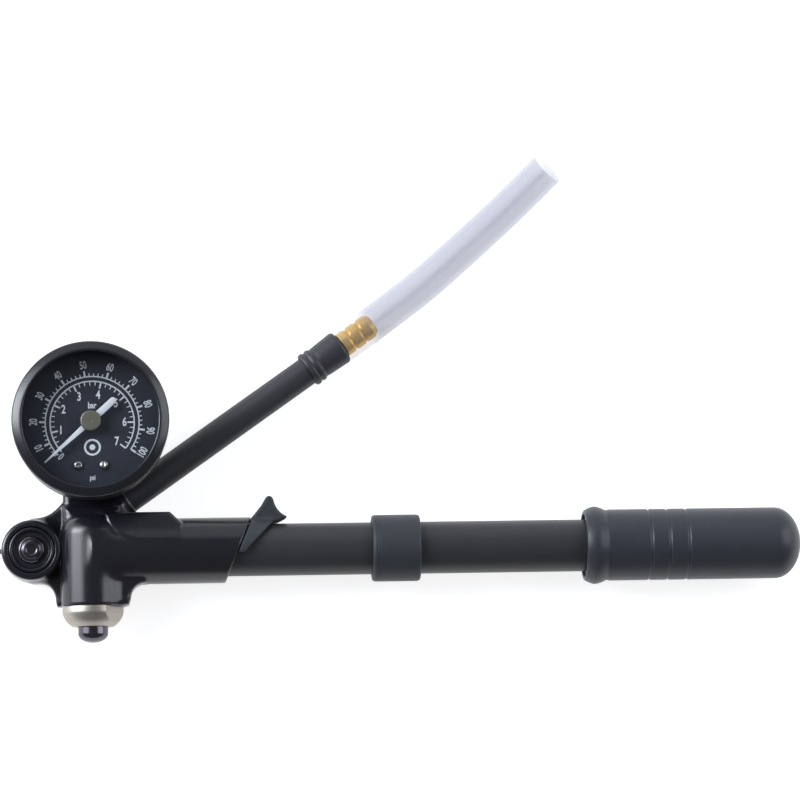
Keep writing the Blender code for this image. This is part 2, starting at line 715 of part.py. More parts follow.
def gauge_shell(axes):
    """The case, the bezel, the lens and the dial with its two screws."""
    gauge = axes["gauge"]
    rim = GAUGE_FRONT - 3.0 * MM
    case_outline = [
        (0, GAUGE_BACK),
        (CASE_RADIUS - 1.5 * MM, GAUGE_BACK),
        (CASE_RADIUS, GAUGE_BACK + 1.5 * MM),
        (CASE_RADIUS, rim - GAP),
        (CASE_INNER, rim - GAP),
        (CASE_INNER, CASE_FLOOR),
        (0, CASE_FLOOR),
    ]
    case = turned("gauge_case", case_outline, "satin_black", gauge, FINE)
    stem_hole = disc(
        "cut_case_stem_hole",
        STEM_RADIUS + GAP,
        GAUGE_BACK - 2 * MM,
        CASE_FLOOR + 2 * MM,
        "satin_black",
        gauge,
        COARSE,
        (0, -STEM_DROP),
    )
    cut(case, stem_hole)
    bezel_outline = [
        (GAUGE_RADIUS, rim),
        (GAUGE_RADIUS, GAUGE_FRONT - 1.7 * MM),
        (GAUGE_RADIUS - 0.5 * MM, GAUGE_FRONT - 0.9 * MM),
        (GAUGE_RADIUS - 1.4 * MM, GAUGE_FRONT - 0.3 * MM),
        (GAUGE_RADIUS - 2.6 * MM, GAUGE_FRONT),
        (DIAL_OPENING + 0.9 * MM, GAUGE_FRONT),
        (DIAL_OPENING + 0.2 * MM, GAUGE_FRONT - 0.5 * MM),
        (DIAL_OPENING, GAUGE_FRONT - 1.2 * MM),
        (DIAL_OPENING, rim),
    ]
    turned("gauge_bezel", bezel_outline, "gloss_black", gauge, FINE)
    disc("gauge_lens", CASE_INNER - GAP, rim - 1.3 * MM, rim - GAP, "lens", gauge, FINE)
    dial = disc(
        "dial_plate", CASE_INNER - GAP, DIAL_FRONT - 0.6 * MM, DIAL_FRONT, "dial", gauge, FINE
    )
    bore = disc(
        "cut_dial_bore", 1.4 * MM, DIAL_FRONT - 2 * MM, DIAL_FRONT + 2 * MM, "dial", gauge, 16
    )
    cut(dial, bore)
    for number, x in ((1, -DIAL_SCREW_SPREAD), (2, DIAL_SCREW_SPREAD)):
        offset = (x, -STEM_DROP)
        hole = disc(
            f"cut_dial_screw_{number}",
            1.15 * MM,
            DIAL_FRONT - 2 * MM,
            DIAL_FRONT + 2 * MM,
            "dial",
            gauge,
            12,
            offset,
        )
        cut(dial, hole)
        head = DIAL_FRONT + GAP
        screw_outline = [
            (0, DIAL_FRONT - 4.6 * MM),
            (0.8 * MM, DIAL_FRONT - 4.6 * MM),
            (0.8 * MM, head),
            (1.5 * MM, head),
            (1.4 * MM, head + 0.45 * MM),
            (0.8 * MM, head + 0.8 * MM),
            (0, head + 0.9 * MM),
        ]
        turned(f"dial_screw_{number}", screw_outline, "steel", gauge, 16, offset)


def gauge_movement(axes):
    """The socket block with its stem, the Bourdon tube, and the frame for the gears."""
    gauge = axes["gauge"]
    block_low = CASE_FLOOR + GAP
    block_outline = [
        (-6.5 * MM, -STEM_DROP - 3 * MM),
        (6.5 * MM, -STEM_DROP - 3 * MM),
        (6.5 * MM, -STEM_DROP + 3 * MM),
        (-6.5 * MM, -STEM_DROP + 3 * MM),
    ]
    block_high = DIAL_FRONT - 0.6 * MM - GAP
    socket = prism("gauge_socket", block_outline, block_low, block_high, "brass", gauge)
    offset = (0, -STEM_DROP)
    stem = disc(
        "add_stem", STEM_RADIUS, 3.0 * MM, block_low + 1 * MM, "brass", gauge, COARSE, offset
    )
    add(socket, stem)
    cut(socket, disc("cut_stem_bore", 1.0 * MM, 2 * MM, 17.5 * MM, "brass", gauge, 12, offset))
    for number, x in ((1, -DIAL_SCREW_SPREAD), (2, DIAL_SCREW_SPREAD)):
        place = (x, -STEM_DROP)
        low = DIAL_FRONT - 5 * MM
        hole = disc(f"cut_socket_{number}", 1.05 * MM, low, DIAL_FRONT, "brass", gauge, 12, place)
        cut(socket, hole)
    ring_low = NECK_FRONT + GAP / 2
    washer_outline = [
        (STEM_RADIUS + GAP, ring_low),
        (7.0 * MM, ring_low),
        (7.0 * MM, GAUGE_BACK - GAP / 2),
        (STEM_RADIUS + GAP, GAUGE_BACK - GAP / 2),
    ]
    turned("stem_washer", washer_outline, "seal", gauge, COARSE, offset)
    bend = arc((0, 0), 17.6 * MM, radians(247), radians(22), 20)
    path = [Vector((x, y, PLATE_LOW + 2.4 * MM)) for x, y in bend]
    oval = [(0.9 * MM, 0), (0.6 * MM, 2.2 * MM), (-0.6 * MM, 2.2 * MM)]
    oval += [(-0.9 * MM, 0), (-0.6 * MM, -2.2 * MM), (0.6 * MM, -2.2 * MM)]
    swept("bourdon_tube", path, [oval], "bronze", gauge)
    frame_outline = [
        (-11.5 * MM, -6 * MM),
        (4 * MM, -6 * MM),
        (4 * MM, 5 * MM),
        (-11.5 * MM, 5 * MM),
    ]
    frame = prism("movement_frame", frame_outline, PLATE_LOW, PLATE_HIGH, "brass", gauge)
    posts = ((2.6 * MM, -4.4 * MM), (2.6 * MM, 3.6 * MM), (-10 * MM, 3.6 * MM))
    for number, spot in enumerate(posts, 1):
        name = f"add_post_{number}"
        post = disc(name, 1.0 * MM, PLATE_LOW, COVER_LOW - GAP, "brass", gauge, 12, spot)
        add(frame, post)
    foot_low = -STEM_DROP + 3 * MM + GAP
    foot_outline = [(-4 * MM, foot_low), (4 * MM, foot_low), (4 * MM, -5 * MM), (-4 * MM, -5 * MM)]
    foot = prism("add_frame_foot", foot_outline, PLATE_LOW, PLATE_HIGH, "brass", gauge)
    add(frame, foot)
    cover = prism("movement_cover", frame_outline, COVER_LOW, COVER_HIGH, "brass", gauge)
    pivot = sector_pivot()
    for number, place in enumerate(((0, 0), (pivot.x, pivot.y)), 1):
        for body, low, high in ((frame, CASE_FLOOR, COVER_LOW - MM), (cover, COVER_LOW - MM, DIAL_FRONT)):
            hole = disc(
                f"cut_{body.name}_{number}",
                ARBOR_RADIUS + 0.15 * MM,
                low,
                high,
                "brass",
                gauge,
                12,
                place,
            )
            cut(body, hole)


def sector_pivot():
    """The sector's pivot, seen from the gauge's axis."""
    reach = PINION_RADIUS + SECTOR_RADIUS
    return Vector((reach * cos(SECTOR_DIRECTION), reach * sin(SECTOR_DIRECTION)))


def tooth(pitch_radius, angle, addendum, dedendum):
    """Four (x, y) corners of one gear tooth, counted anticlockwise."""
    pitch = pi * GEAR_MODULE
    corners = []
    for radius, width in (
        (pitch_radius - dedendum, 0.42),
        (pitch_radius + addendum, 0.16),
    ):
        half = width * pitch / 2 / radius
        corners.append((radius, half))
    (root, root_half), (tip, tip_half) = corners
    return [
        (root * cos(angle - root_half), root * sin(angle - root_half)),
        (tip * cos(angle - tip_half), tip * sin(angle - tip_half)),
        (tip * cos(angle + tip_half), tip * sin(angle + tip_half)),
        (root * cos(angle + root_half), root * sin(angle + root_half)),
    ]


def gears(axes):
    """The sector gear, and the pinion with the arbor that carries the pointer."""
    needle = axes["needle"]
    addendum = 0.24 * MM
    dedendum = 0.36 * MM
    step = 2 * pi / PINION_TEETH
    outline = []
    for i in range(PINION_TEETH):
        outline += tooth(PINION_RADIUS, SECTOR_DIRECTION + i * step, addendum, dedendum)
    pinion = prism("pinion_arbor", outline, PLATE_HIGH + 1.4 * MM, PLATE_HIGH + 3.4 * MM, "steel", needle)
    arbor = disc("add_arbor", ARBOR_RADIUS, PLATE_LOW + GAP, DIAL_FRONT + 3.4 * MM, "steel", needle, 12)
    add(pinion, arbor)

    sector_step = step / GEAR_RATIO
    towards_pinion = SECTOR_DIRECTION - pi
    # At rest the pinion is near the sector's last tooth, and the sector turns the others past it.
    first = towards_pinion - (SECTOR_TOOTH_COUNT - 2.5) * sector_step
    outline = []
    for i in range(SECTOR_TOOTH_COUNT):
        outline += tooth(SECTOR_RADIUS, first + i * sector_step, addendum, dedendum)
    last = first + SECTOR_TOOTH_COUNT * sector_step
    hub = arc((0, 0), 1.4 * MM, last + radians(50), first - radians(50) + 2 * pi, 8)
    outline += hub
    axis = axes["sector"]
    low = PLATE_HIGH + 1.9 * MM
    sector = prism("sector_gear", outline, low, low + 1.0 * MM, "brass", axis)
    arbor_low, arbor_high = PLATE_LOW + GAP, COVER_HIGH - GAP
    add(sector, disc("add_sector_arbor", ARBOR_RADIUS, arbor_low, arbor_high, "brass", axis, 12))


def pointer(axes):
    """The white pointer and the round hub that presses it onto the arbor."""
    needle = axes["needle"]
    low = DIAL_FRONT + 2.0 * MM
    tip, tail, half_tail = 19.2 * MM, 9.3 * MM, 1.05 * MM
    outline = [(-0.35 * MM, tip), (-0.8 * MM, 3 * MM), (-half_tail, 0), (-half_tail, -tail)]
    outline += arc((0, -tail), half_tail, radians(200), radians(340), 5)
    outline += [(half_tail, -tail), (half_tail, 0), (0.8 * MM, 3 * MM), (0.35 * MM, tip)]
    turn = empty("pointer_turn", (0, 0, 0), (0, 0, -POINTER_REST), needle)
    blade = prism("pointer", outline, low, low + 0.4 * MM, "white_print", turn)
    bore = disc("cut_pointer_bore", ARBOR_RADIUS + 0.15 * MM, low - 1 * MM, low + 1 * MM, "hub", turn, 12)
    cut(blade, bore)
    seat = low + 0.4 * MM + GAP
    hub_outline = [
        (0, seat + 1.0 * MM),
        (3.0 * MM, seat + 1.0 * MM),
        (3.25 * MM, seat + 0.7 * MM),
        (3.25 * MM, seat),
        (ARBOR_RADIUS + 0.15 * MM, seat),
        (ARBOR_RADIUS + 0.15 * MM, seat + 0.75 * MM),
        (0, seat + 0.85 * MM),
    ]
    turned("pointer_hub", hub_outline, "hub", needle)


def hose_line(axes):
    """The hose with its nipple, boot and barb fitting, and the clear tube pushed on it."""
    hose = axes["hose"]
    nipple_outline = [
        (0.9 * MM, -11.7 * MM),
        (2.3 * MM, -11.7 * MM),
        (2.3 * MM, -HOSE_PORT_DEPTH),
        (3.6 * MM, -HOSE_PORT_DEPTH + 0.3 * MM),
        (3.6 * MM, -HOSE_PORT_DEPTH + 1.3 * MM),
        (0.9 * MM, -HOSE_PORT_DEPTH + 1.3 * MM),
    ]
    turned("hose_nipple", nipple_outline, "brass", hose)
    start = hose_point(-HOSE_PORT_DEPTH + 1.3 * MM + GAP)
    route = [start, hose_point(12 * MM), hose_point(28 * MM), hose_point(46 * MM)]
    route += [boot_point(0), boot_point(7.6 * MM)]
    cord("hose", smooth_curve(route, 12 * MM), HOSE_RADIUS, "rubber")

    fitting = axes["fitting"]
    boot_outline = [
        (HOSE_RADIUS + 0.2 * MM, 0),
        (BOOT_RADIUS - 0.5 * MM, 0),
        (BOOT_RADIUS, 0.5 * MM),
        (BOOT_RADIUS, 1.6 * MM),
        (BOOT_RADIUS - 0.5 * MM, 2.1 * MM),
        (BOOT_RADIUS - 0.1 * MM, 2.7 * MM),
        (BOOT_RADIUS - 0.1 * MM, 3.6 * MM),
        (BOOT_RADIUS - 0.6 * MM, 4.2 * MM),
        (BOOT_RADIUS - 0.1 * MM, BOOT_LENGTH - 0.6 * MM),
        (BOOT_RADIUS - 0.6 * MM, BOOT_LENGTH),
        (3.3 * MM, BOOT_LENGTH),
        (3.3 * MM, 7.9 * MM),
        (HOSE_RADIUS + 0.2 * MM, 7.9 * MM),
    ]
    turned("hose_boot", boot_outline, "rubber", fitting)
    barb_outline = [(0.9 * MM, 8.2 * MM), (3.0 * MM, 8.2 * MM), (3.0 * MM, BOOT_LENGTH + GAP)]
    for i in range(3):
        low = BOOT_LENGTH + GAP + i * 3.9 * MM
        barb_outline += [(3.95 * MM, low), (3.95 * MM, low + 2.6 * MM), (3.45 * MM, low + 3.4 * MM)]
    barb_outline += [(2.9 * MM, BOOT_LENGTH + BARB_LENGTH), (0.9 * MM, BOOT_LENGTH + BARB_LENGTH)]
    turned("barb_fitting", barb_outline, "brass", fitting)

    walls = [circle(TUBE_RADIUS, 16), circle(TUBE_BORE, 16)]
    swept("clear_tube", smooth_curve(clear_tube_route(), 20 * MM), walls, "clear_hose")


def clear_tube_route():
    """The tube runs straight off the barb, then bends gently up to its open end."""
    straight = [boot_point(BOOT_LENGTH + GAP), boot_point(BOOT_LENGTH + BARB_LENGTH)]
    return straight + [Vector((x, y, HOSE_HEIGHT)) for x, y in CLEAR_TUBE_BENDS]


def handle(axes):
    """The grip on its core, the end plug, the rod and the piston: all that slides."""
    slide = axes["slide"]
    bore = CORE_RADIUS + GAP
    core_end = 213.0 * MM
    plug_end = 216.6 * MM
    grip_outline = [
        (bore, HANDLE_MOUTH),
        (bore + 1.0 * MM, HANDLE_MOUTH),
        (FLANGE_RADIUS - 0.7 * MM, HANDLE_MOUTH + 1.2 * MM),
        (FLANGE_RADIUS, HANDLE_FLANGE),
        (FLANGE_RADIUS - 0.6 * MM, HANDLE_FLANGE + 2.2 * MM),
        (GRIP_RADIUS, HANDLE_FLANGE + 4.2 * MM),
    ]
    for middle in (173.0 * MM, 178.8 * MM, 185.1 * MM):
        grip_outline += [
            (GRIP_RADIUS, middle - 0.6 * MM),
            (GRIP_RADIUS - 0.35 * MM, middle),
            (GRIP_RADIUS, middle + 0.6 * MM),
        ]
    nose = HANDLE_END - 8.2 * MM
    for x, y in arc((0, 0), 1.0, 0, pi / 2, 6)[:-1]:
        grip_outline.append((GRIP_RADIUS * x, nose + 8.2 * MM * y))
    grip_outline += [(0, HANDLE_END), (0, 219.6 * MM), (6.0 * MM, 219.6 * MM)]
    grip_outline += [(6.0 * MM, plug_end), (bore, plug_end)]
    turned("handle_grip", grip_outline, "grip", slide, FINE)
    mouth = HANDLE_MOUTH + 1.0 * MM
    ring("handle_core", CORE_BORE, CORE_RADIUS, mouth, core_end, "aluminium", slide, FINE)
    plug_outline = [
        (ROD_RADIUS + 0.2 * MM, core_end + GAP),
        (CORE_RADIUS, core_end + GAP),
        (CORE_RADIUS, plug_end - GAP),
        (5.7 * MM, plug_end - GAP),
        (5.7 * MM, 219.2 * MM),
        (ROD_RADIUS + 0.2 * MM, 219.2 * MM),
    ]
    turned("handle_plug", plug_outline, "aluminium", slide)
    piston_end = PISTON_START + 8 * MM
    rod_start = PISTON_START + 5.0 * MM
    disc("piston_rod", ROD_RADIUS, rod_start, 218.9 * MM, "steel", slide)
    nut_high = core_end - 0.2 * MM
    nut_outline = [(5.2 * MM * cos(i * pi / 3), 5.2 * MM * sin(i * pi / 3)) for i in range(6)]
    nut = prism("rod_nut", nut_outline, nut_high - 3.2 * MM, nut_high, "steel", slide)
    nut_bore = disc(
        "cut_rod_nut_bore", ROD_RADIUS + 0.15 * MM, nut_high - 5 * MM, nut_high + 2 * MM, "steel", slide
    )
    cut(nut, nut_bore)
    groove = PISTON_START + 2.2 * MM
    outer = BARREL_BORE - 0.35 * MM
    piston_outline = [
        (0, PISTON_START),
        (outer, PISTON_START),
        (outer, groove),
        (5.1 * MM, groove),
        (5.1 * MM, groove + 2.0 * MM),
        (outer, groove + 2.0 * MM),
        (outer, piston_end),
        (ROD_RADIUS + 0.2 * MM, piston_end),
        (ROD_RADIUS + 0.2 * MM, rod_start - GAP),
        (0, rod_start - GAP),
    ]
    turned("piston", piston_outline, "brass", slide)
    torus("piston_o_ring", 6.1 * MM, 0.8 * MM, groove + 1.0 * MM, "seal", slide)


def make_axes():
    """The frames that parts are turned in. Moving groups get their own."""
    barrel = empty("barrel_axis", (0, 0, AXIS_HEIGHT), (0, pi / 2, 0))
    column = empty("column_axis", (0, 0, AXIS_HEIGHT), (-pi / 2, 0, 0))
    gauge = empty("gauge_axis", (0, GAUGE_Y, 0))
    pivot = sector_pivot()
    along_hose = Matrix.Rotation(HOSE_ANGLE, 4, "Z") @ Matrix.Rotation(pi / 2, 4, "Y")
    along_boot = Matrix.Rotation(BOOT_ANGLE, 4, "Z") @ Matrix.Rotation(pi / 2, 4, "Y")
    return {
        "barrel": barrel,
        "column": column,
        "gauge": gauge,
        "slide": empty("handle_slide_axis", (0, 0, 0), (0, 0, 0), barrel),
        "needle": empty("needle_axis", (0, 0, 0), (0, 0, 0), gauge),
        "sector": empty("sector_axis", (pivot.x, pivot.y, 0), (0, 0, 0), gauge),
        "hose": empty("hose_axis", hose_point(0), along_hose.to_euler()),
        "fitting": empty("fitting_axis", boot_point(0), along_boot.to_euler()),
    }


def main():
    clear_scene()
    axes = make_axes()
    head_casting(axes)
    lug_fittings()
    barrel_and_trim(axes)
    check_valve(axes)
    bleed_valve(axes)
    hook_saddle()
    gauge_shell(axes)
    gauge_movement(axes)
    gears(axes)
    pointer(axes)
    hose_line(axes)
    handle(axes)


main()
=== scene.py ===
"""The looks of the shock pump: finished surfaces, materials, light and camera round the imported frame.

Shapes are worked out in millimetres, in the frame's own axes, and scaled to metres as they are made.
"""

import json
from math import ceil, cos, pi, radians, sin

import bmesh
import bpy
import numpy as np
import openvdb
from mathutils import Matrix, Vector


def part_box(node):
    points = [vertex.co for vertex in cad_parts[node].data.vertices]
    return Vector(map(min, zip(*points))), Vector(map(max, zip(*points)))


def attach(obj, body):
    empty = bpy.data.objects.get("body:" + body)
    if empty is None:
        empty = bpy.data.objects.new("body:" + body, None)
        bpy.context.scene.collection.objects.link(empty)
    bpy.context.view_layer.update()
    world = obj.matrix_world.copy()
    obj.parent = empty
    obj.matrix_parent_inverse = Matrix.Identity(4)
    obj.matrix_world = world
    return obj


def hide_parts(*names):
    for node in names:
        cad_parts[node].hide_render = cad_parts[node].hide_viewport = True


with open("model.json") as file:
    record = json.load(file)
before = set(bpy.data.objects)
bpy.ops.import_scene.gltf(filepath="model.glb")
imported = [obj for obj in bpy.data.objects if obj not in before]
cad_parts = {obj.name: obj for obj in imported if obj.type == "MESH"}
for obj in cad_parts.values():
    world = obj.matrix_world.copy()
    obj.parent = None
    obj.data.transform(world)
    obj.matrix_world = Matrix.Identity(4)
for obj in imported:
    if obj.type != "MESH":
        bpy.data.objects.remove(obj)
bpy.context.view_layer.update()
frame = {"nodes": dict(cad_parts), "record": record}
MM = 0.001
BODY = "pump_body"


# ---------------------------------------------------------------- the frame's own sizes, in mm


def box(node):
    """The node's lowest and highest corners in mm."""
    low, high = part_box(node)
    return low / MM, high / MM


BARREL_LOW, BARREL_HIGH = box("barrel_tube")
BAND_LOW, BAND_HIGH = box("collar_band")
GRIP_LOW, GRIP_HIGH = box("handle_grip")
BEZEL_LOW, BEZEL_HIGH = box("gauge_bezel")
CASE_LOW, CASE_HIGH = box("gauge_case")
DIAL_LOW, DIAL_HIGH = box("dial_plate")
LENS_LOW, LENS_HIGH = box("gauge_lens")
LUG_CAP_LOW, LUG_CAP_HIGH = box("lug_cap")
NUT_LOW, NUT_HIGH = box("bleed_nut")
BUTTON_LOW, BUTTON_HIGH = box("bleed_button")
CASTING_LOW, _ = box("head_casting")

AXIS = (BARREL_LOW.z + BARREL_HIGH.z) / 2  # height of the barrel's and the column's axes
BARREL_RADIUS = (BARREL_HIGH.z - BARREL_LOW.z) / 2
GAUGE_Y = (BEZEL_LOW.y + BEZEL_HIGH.y) / 2
LUG_X = (LUG_CAP_LOW.x + LUG_CAP_HIGH.x) / 2
LUG_Y = (LUG_CAP_LOW.y + LUG_CAP_HIGH.y) / 2
COLUMN_FOOT = CASTING_LOW.y
GAP = 0.3  # that the CAD leaves between touching pieces

# The hose port, the end fitting and the clear tube, as in the CAD.
HOSE_HEIGHT = 6.05
HOSE_RADIUS = 4.6
HOSE_ANGLE = radians(35)
HOSE_EXIT = (11.0, 17.0)
HOSE_START = -4.4
BOOT_START = (68.2, 57.05)
BOOT_ANGLE = radians(35.6)
BOOT_LENGTH = 13.4
BOOT_RADIUS = 5.65
BARB_LENGTH = 12.4
BARB_RINGS = 3
BARB_PITCH = 3.9
TUBE_RADIUS = 5.6
TUBE_BORE = 4.25
TUBE_SPACING = 0.5
OUTER_MILK = 0.37  # how opaque the clear tube's faces are
BORE_MILK = 0.03
# painted shade: extra opacity along the bottom of the bore draws the darker streak that shade and
# refraction make down the middle of the tube
PAINTED_STREAK_MILK = 0.22
MILK_ON_BARB = 0.4  # of the above, where the barb stretches the tube
CLEAR_TUBE_BENDS = ((104.2, 83.3), (118.5, 95.6), (132.4, 108.2), (146.0, 121.4))

# Casting.
COLUMN_RADIUS = 9.8
FOOT_REACH = 11.2
WEB_FOOT = COLUMN_FOOT + 0.1
NECK_STEP = 14.6
SHELF_SLOPE = 0.3
SLEEVE_RADIUS = 10.25
SLEEVE_CUT_LOW = (41.3, -10.25)
SLEEVE_CUT_HIGH = (49.6, 10.25)
LUG_RADIUS = 9.4
LUG_FRONT = 16.5
LUG_RECESS = 7.25
STEM_Y = GAUGE_Y - 13.6
NECK_RADIUS = 9.2
WEB_BACK = 3.0
WEB_FRONT = 10.5

# The hollows inside the casting.
BLEED_BORE = 7.8
BLEED_STEP = -9.9
SEAT_BORE = 5.8
SEAT_SHOULDER = -7.2
CHAMBER_RADIUS = 5.0
CHAMBER_TOP = 6.0
SPRING_WELL = 3.0
PASSAGE = 1.2
NIPPLE_WELL = 2.6

# Dial.
POINTER_REST = radians(-132)  # clockwise from straight up
PSI_ZERO = radians(-142)
PSI_STEP = radians(2.67)
BAR_ZERO = radians(-141.5)
BAR_STEP = radians(38.5)
PRINT_START = radians(-133)  # both scales begin under the pointer
PRINT_SHIFT = (0.45, -0.4)  # the scales are printed slightly off the pointer's axis

# Camera and light, in metres.
CAMERA_PLACE = (0.015, -0.095, 1.1755)
CAMERA_TARGET = (0.097, 0.0467, 0.0125)
CAMERA_ROLL = radians(-1.13)
CAMERA_LENS = 167.8
LIT_SPOT = (0.05, 0.03, 0.01)
COOL_WHITE = (0.88, 0.93, 1)
FLOOR_HALF = 6.0
SOFTBOXES = (  # name, place, width, height, radiance
    ("left_box", (-0.66, 0.30, 0.42), 0.80, 0.60, 4.5),
    ("left_core", (-0.60, 0.22, 0.36), 0.50, 0.28, 10.0),
    ("right_box", (0.78, 0.22, 0.46), 0.75, 0.62, 3.2),
    ("wall_box", (0.10, 0.85, 0.42), 1.50, 0.75, 0.85),
)

ALONG_BARREL = Matrix.Translation((0, 0, AXIS)) @ Matrix.Rotation(pi / 2, 4, "Y")
ALONG_COLUMN = Matrix.Translation((0, 0, AXIS)) @ Matrix.Rotation(-pi / 2, 4, "X")
AT_GAUGE = Matrix.Translation((0, GAUGE_Y, 0))
AT_LUG = Matrix.Translation((LUG_X, LUG_Y, 0))


# ---------------------------------------------------------------- materials


def material(
    name,
    colour,
    roughness,
    metallic=0.0,
    grain=700,
    mottle=0.12,
    swing=0.08,
    bump=0.012,
    stretch=(1, 1, 1),
    **sockets,
):
    """A Principled surface with fine colour, roughness and height variation of its own.

    grain is in features per metre, bump is a depth in mm, and stretch draws the grain out.
    """
    made = bpy.data.materials.new(name)
    made.use_nodes = True
    nodes = made.node_tree.nodes
    links = made.node_tree.links
    shader = nodes["Principled BSDF"]
    shader.inputs["Metallic"].default_value = metallic
    for socket, value in sockets.items():
        shader.inputs[socket.replace("_", " ")].default_value = value
    place = nodes.new("ShaderNodeTexCoord")
    scaled = nodes.new("ShaderNodeMapping")
    scaled.inputs["Scale"].default_value = stretch
    links.new(place.outputs["Object"], scaled.inputs["Vector"])

    def noise(scale, detail):
        made_noise = nodes.new("ShaderNodeTexNoise")
        made_noise.inputs["Scale"].default_value = scale
        made_noise.inputs["Detail"].default_value = detail
        links.new(scaled.outputs["Vector"], made_noise.inputs["Vector"])
        return made_noise.outputs["Fac"]

    broad = noise(grain * 0.09, 3)
    fine = noise(grain, 4)
    tint = nodes.new("ShaderNodeMix")
    tint.data_type = "RGBA"
    tint.inputs["A"].default_value = (*[c * (1 - mottle) for c in colour], 1)
    tint.inputs["B"].default_value = (*[min(1, c * (1 + mottle)) for c in colour], 1)
    links.new(broad, tint.inputs["Factor"])
    links.new(tint.outputs["Result"], shader.inputs["Base Color"])
    rough = nodes.new("ShaderNodeMapRange")
    rough.inputs["From Min"].default_value = 0.3
    rough.inputs["From Max"].default_value = 0.7
    rough.inputs["To Min"].default_value = max(0.02, roughness - swing)
    rough.inputs["To Max"].default_value = roughness + swing
    links.new(fine, rough.inputs["Value"])
    links.new(rough.outputs["Result"], shader.inputs["Roughness"])
    raised = nodes.new("ShaderNodeBump")
    raised.inputs["Distance"].default_value = bump * MM
    raised.inputs["Strength"].default_value = 1.0
    links.new(fine, raised.inputs["Height"])
    links.new(raised.outputs["Normal"], shader.inputs["Normal"])
    return made


FINISHES = {
    "gloss_black": material(
        "gloss_black_paint", (0.0085, 0.0085, 0.0125), 0.24, swing=0.03, grain=450, bump=0.003,
    ),
    "satin_black": material(
        "black_anodised", (0.030, 0.030, 0.034), 0.38, 0.0, grain=2500, swing=0.05, bump=0.003,
        Specular_IOR_Level=0.32,
    ),
    "matte_black": material(
        "moulded_black_plastic", (0.030, 0.033, 0.040), 0.5, grain=2200, bump=0.012,
        Specular_IOR_Level=0.3,
    ),
    "grip": material(
        "soft_grip", (0.030, 0.032, 0.041), 0.40, grain=1800, bump=0.012, Specular_IOR_Level=0.32,
    ),
    "rubber": material("hose_rubber", (0.021, 0.021, 0.027), 0.50, grain=1600, bump=0.014),
    "seal": material("seal_rubber", (0.014, 0.014, 0.015), 0.65, grain=1500, bump=0.01),
    "nickel": material(
        "satin_nickel", (0.40, 0.365, 0.325), 0.44, 1.0, grain=1400, mottle=0.05, bump=0.003,
        stretch=(0.25, 6, 0.25),
    ),
    "dark_chrome": material(
        "dark_chrome", (0.105, 0.10, 0.115), 0.2, 1.0, grain=900, mottle=0.08, swing=0.04, bump=0.001,
    ),
    "steel": material("ground_steel", (0.58, 0.58, 0.59), 0.24, 1.0, grain=1500, bump=0.002),
    "aluminium": material("aluminium", (0.76, 0.77, 0.78), 0.34, 1.0, grain=1500, bump=0.002),
    "brass": material(
        "turned_brass", (0.64, 0.40, 0.10), 0.34, 0.55, grain=1200, mottle=0.10, bump=0.003,
    ),
    "bronze": material("bronze_tube", (0.52, 0.36, 0.20), 0.34, 1.0, grain=1200, bump=0.002),
    "dial": material("dial_face", (0.020, 0.026, 0.043), 0.55, grain=2500, mottle=0.1, bump=0.003),
    "white_print": material("white_print", (0.86, 0.91, 1.0), 0.5, grain=2500, mottle=0.05, bump=0.002),
    "hub": material("pointer_hub", (0.26, 0.25, 0.20), 0.42, 0.7, grain=2500, bump=0.003),
    "lens": material(
        "gauge_glass", (0.02, 0.02, 0.025), 0.05, grain=60, swing=0.01, bump=0.002, Alpha=0.10,
    ),
    "clear_hose": material(
        "milky_tube_painted_streak", (0.26, 0.265, 0.36), 0.22, grain=300, mottle=0.03, bump=0.001,
    ),
}


def cloud_tube():
    """Makes the tube's material as opaque as the mesh's own opacity value says: the tube's milkiness plus a
    painted shade streak along the bottom of the bore.
    """
    nodes = FINISHES["clear_hose"].node_tree.nodes
    links = FINISHES["clear_hose"].node_tree.links
    shader = nodes["Principled BSDF"]
    milk_and_painted_streak = nodes.new("ShaderNodeAttribute")
    milk_and_painted_streak.attribute_name = "milk_and_painted_streak"
    links.new(milk_and_painted_streak.outputs["Fac"], shader.inputs["Alpha"])


def dress(obj, finish):
    obj.data.materials.clear()
    obj.data.materials.append(FINISHES[finish])
    return obj


# ---------------------------------------------------------------- making meshes


def keep(name, mesh, finish, body=BODY, replaced=None, flat=34):
    """A finished piece that rides on a body and stands for its CAD nodes."""
    mesh.shade_smooth()
    mesh.set_sharp_from_angle(angle=radians(flat))
    obj = bpy.data.objects.new(name, mesh)
    bpy.context.scene.collection.objects.link(obj)
    dress(obj, finish)
    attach(obj, body)
    if replaced:
        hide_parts(*([replaced] if isinstance(replaced, str) else replaced))
    return obj


def rounded(corners, steps=4):
    """The closed outline with each (radius, height, fillet) corner rounded. No fillet means 0.25 mm."""
    points = []
    for i, corner in enumerate(corners):
        here = Vector(corner[:2])
        fillet = corner[2] if len(corner) > 2 else 0.25
        before = Vector(corners[i - 1][:2]) - here
        after = Vector(corners[(i + 1) % len(corners)][:2]) - here
        if here.x < 1e-6 or fillet == 0 or min(before.length, after.length) < 1e-6:
            points.append((here.x, here.y))
            continue
        cut = min(fillet, before.length * 0.45, after.length * 0.45)
        start = here + before.normalized() * cut
        end = here + after.normalized() * cut
        for k in range(steps + 1):
            t = k / steps
            spot = start * (1 - t) ** 2 + here * 2 * t * (1 - t) + end * t**2
            points.append((spot.x, spot.y))
    return points


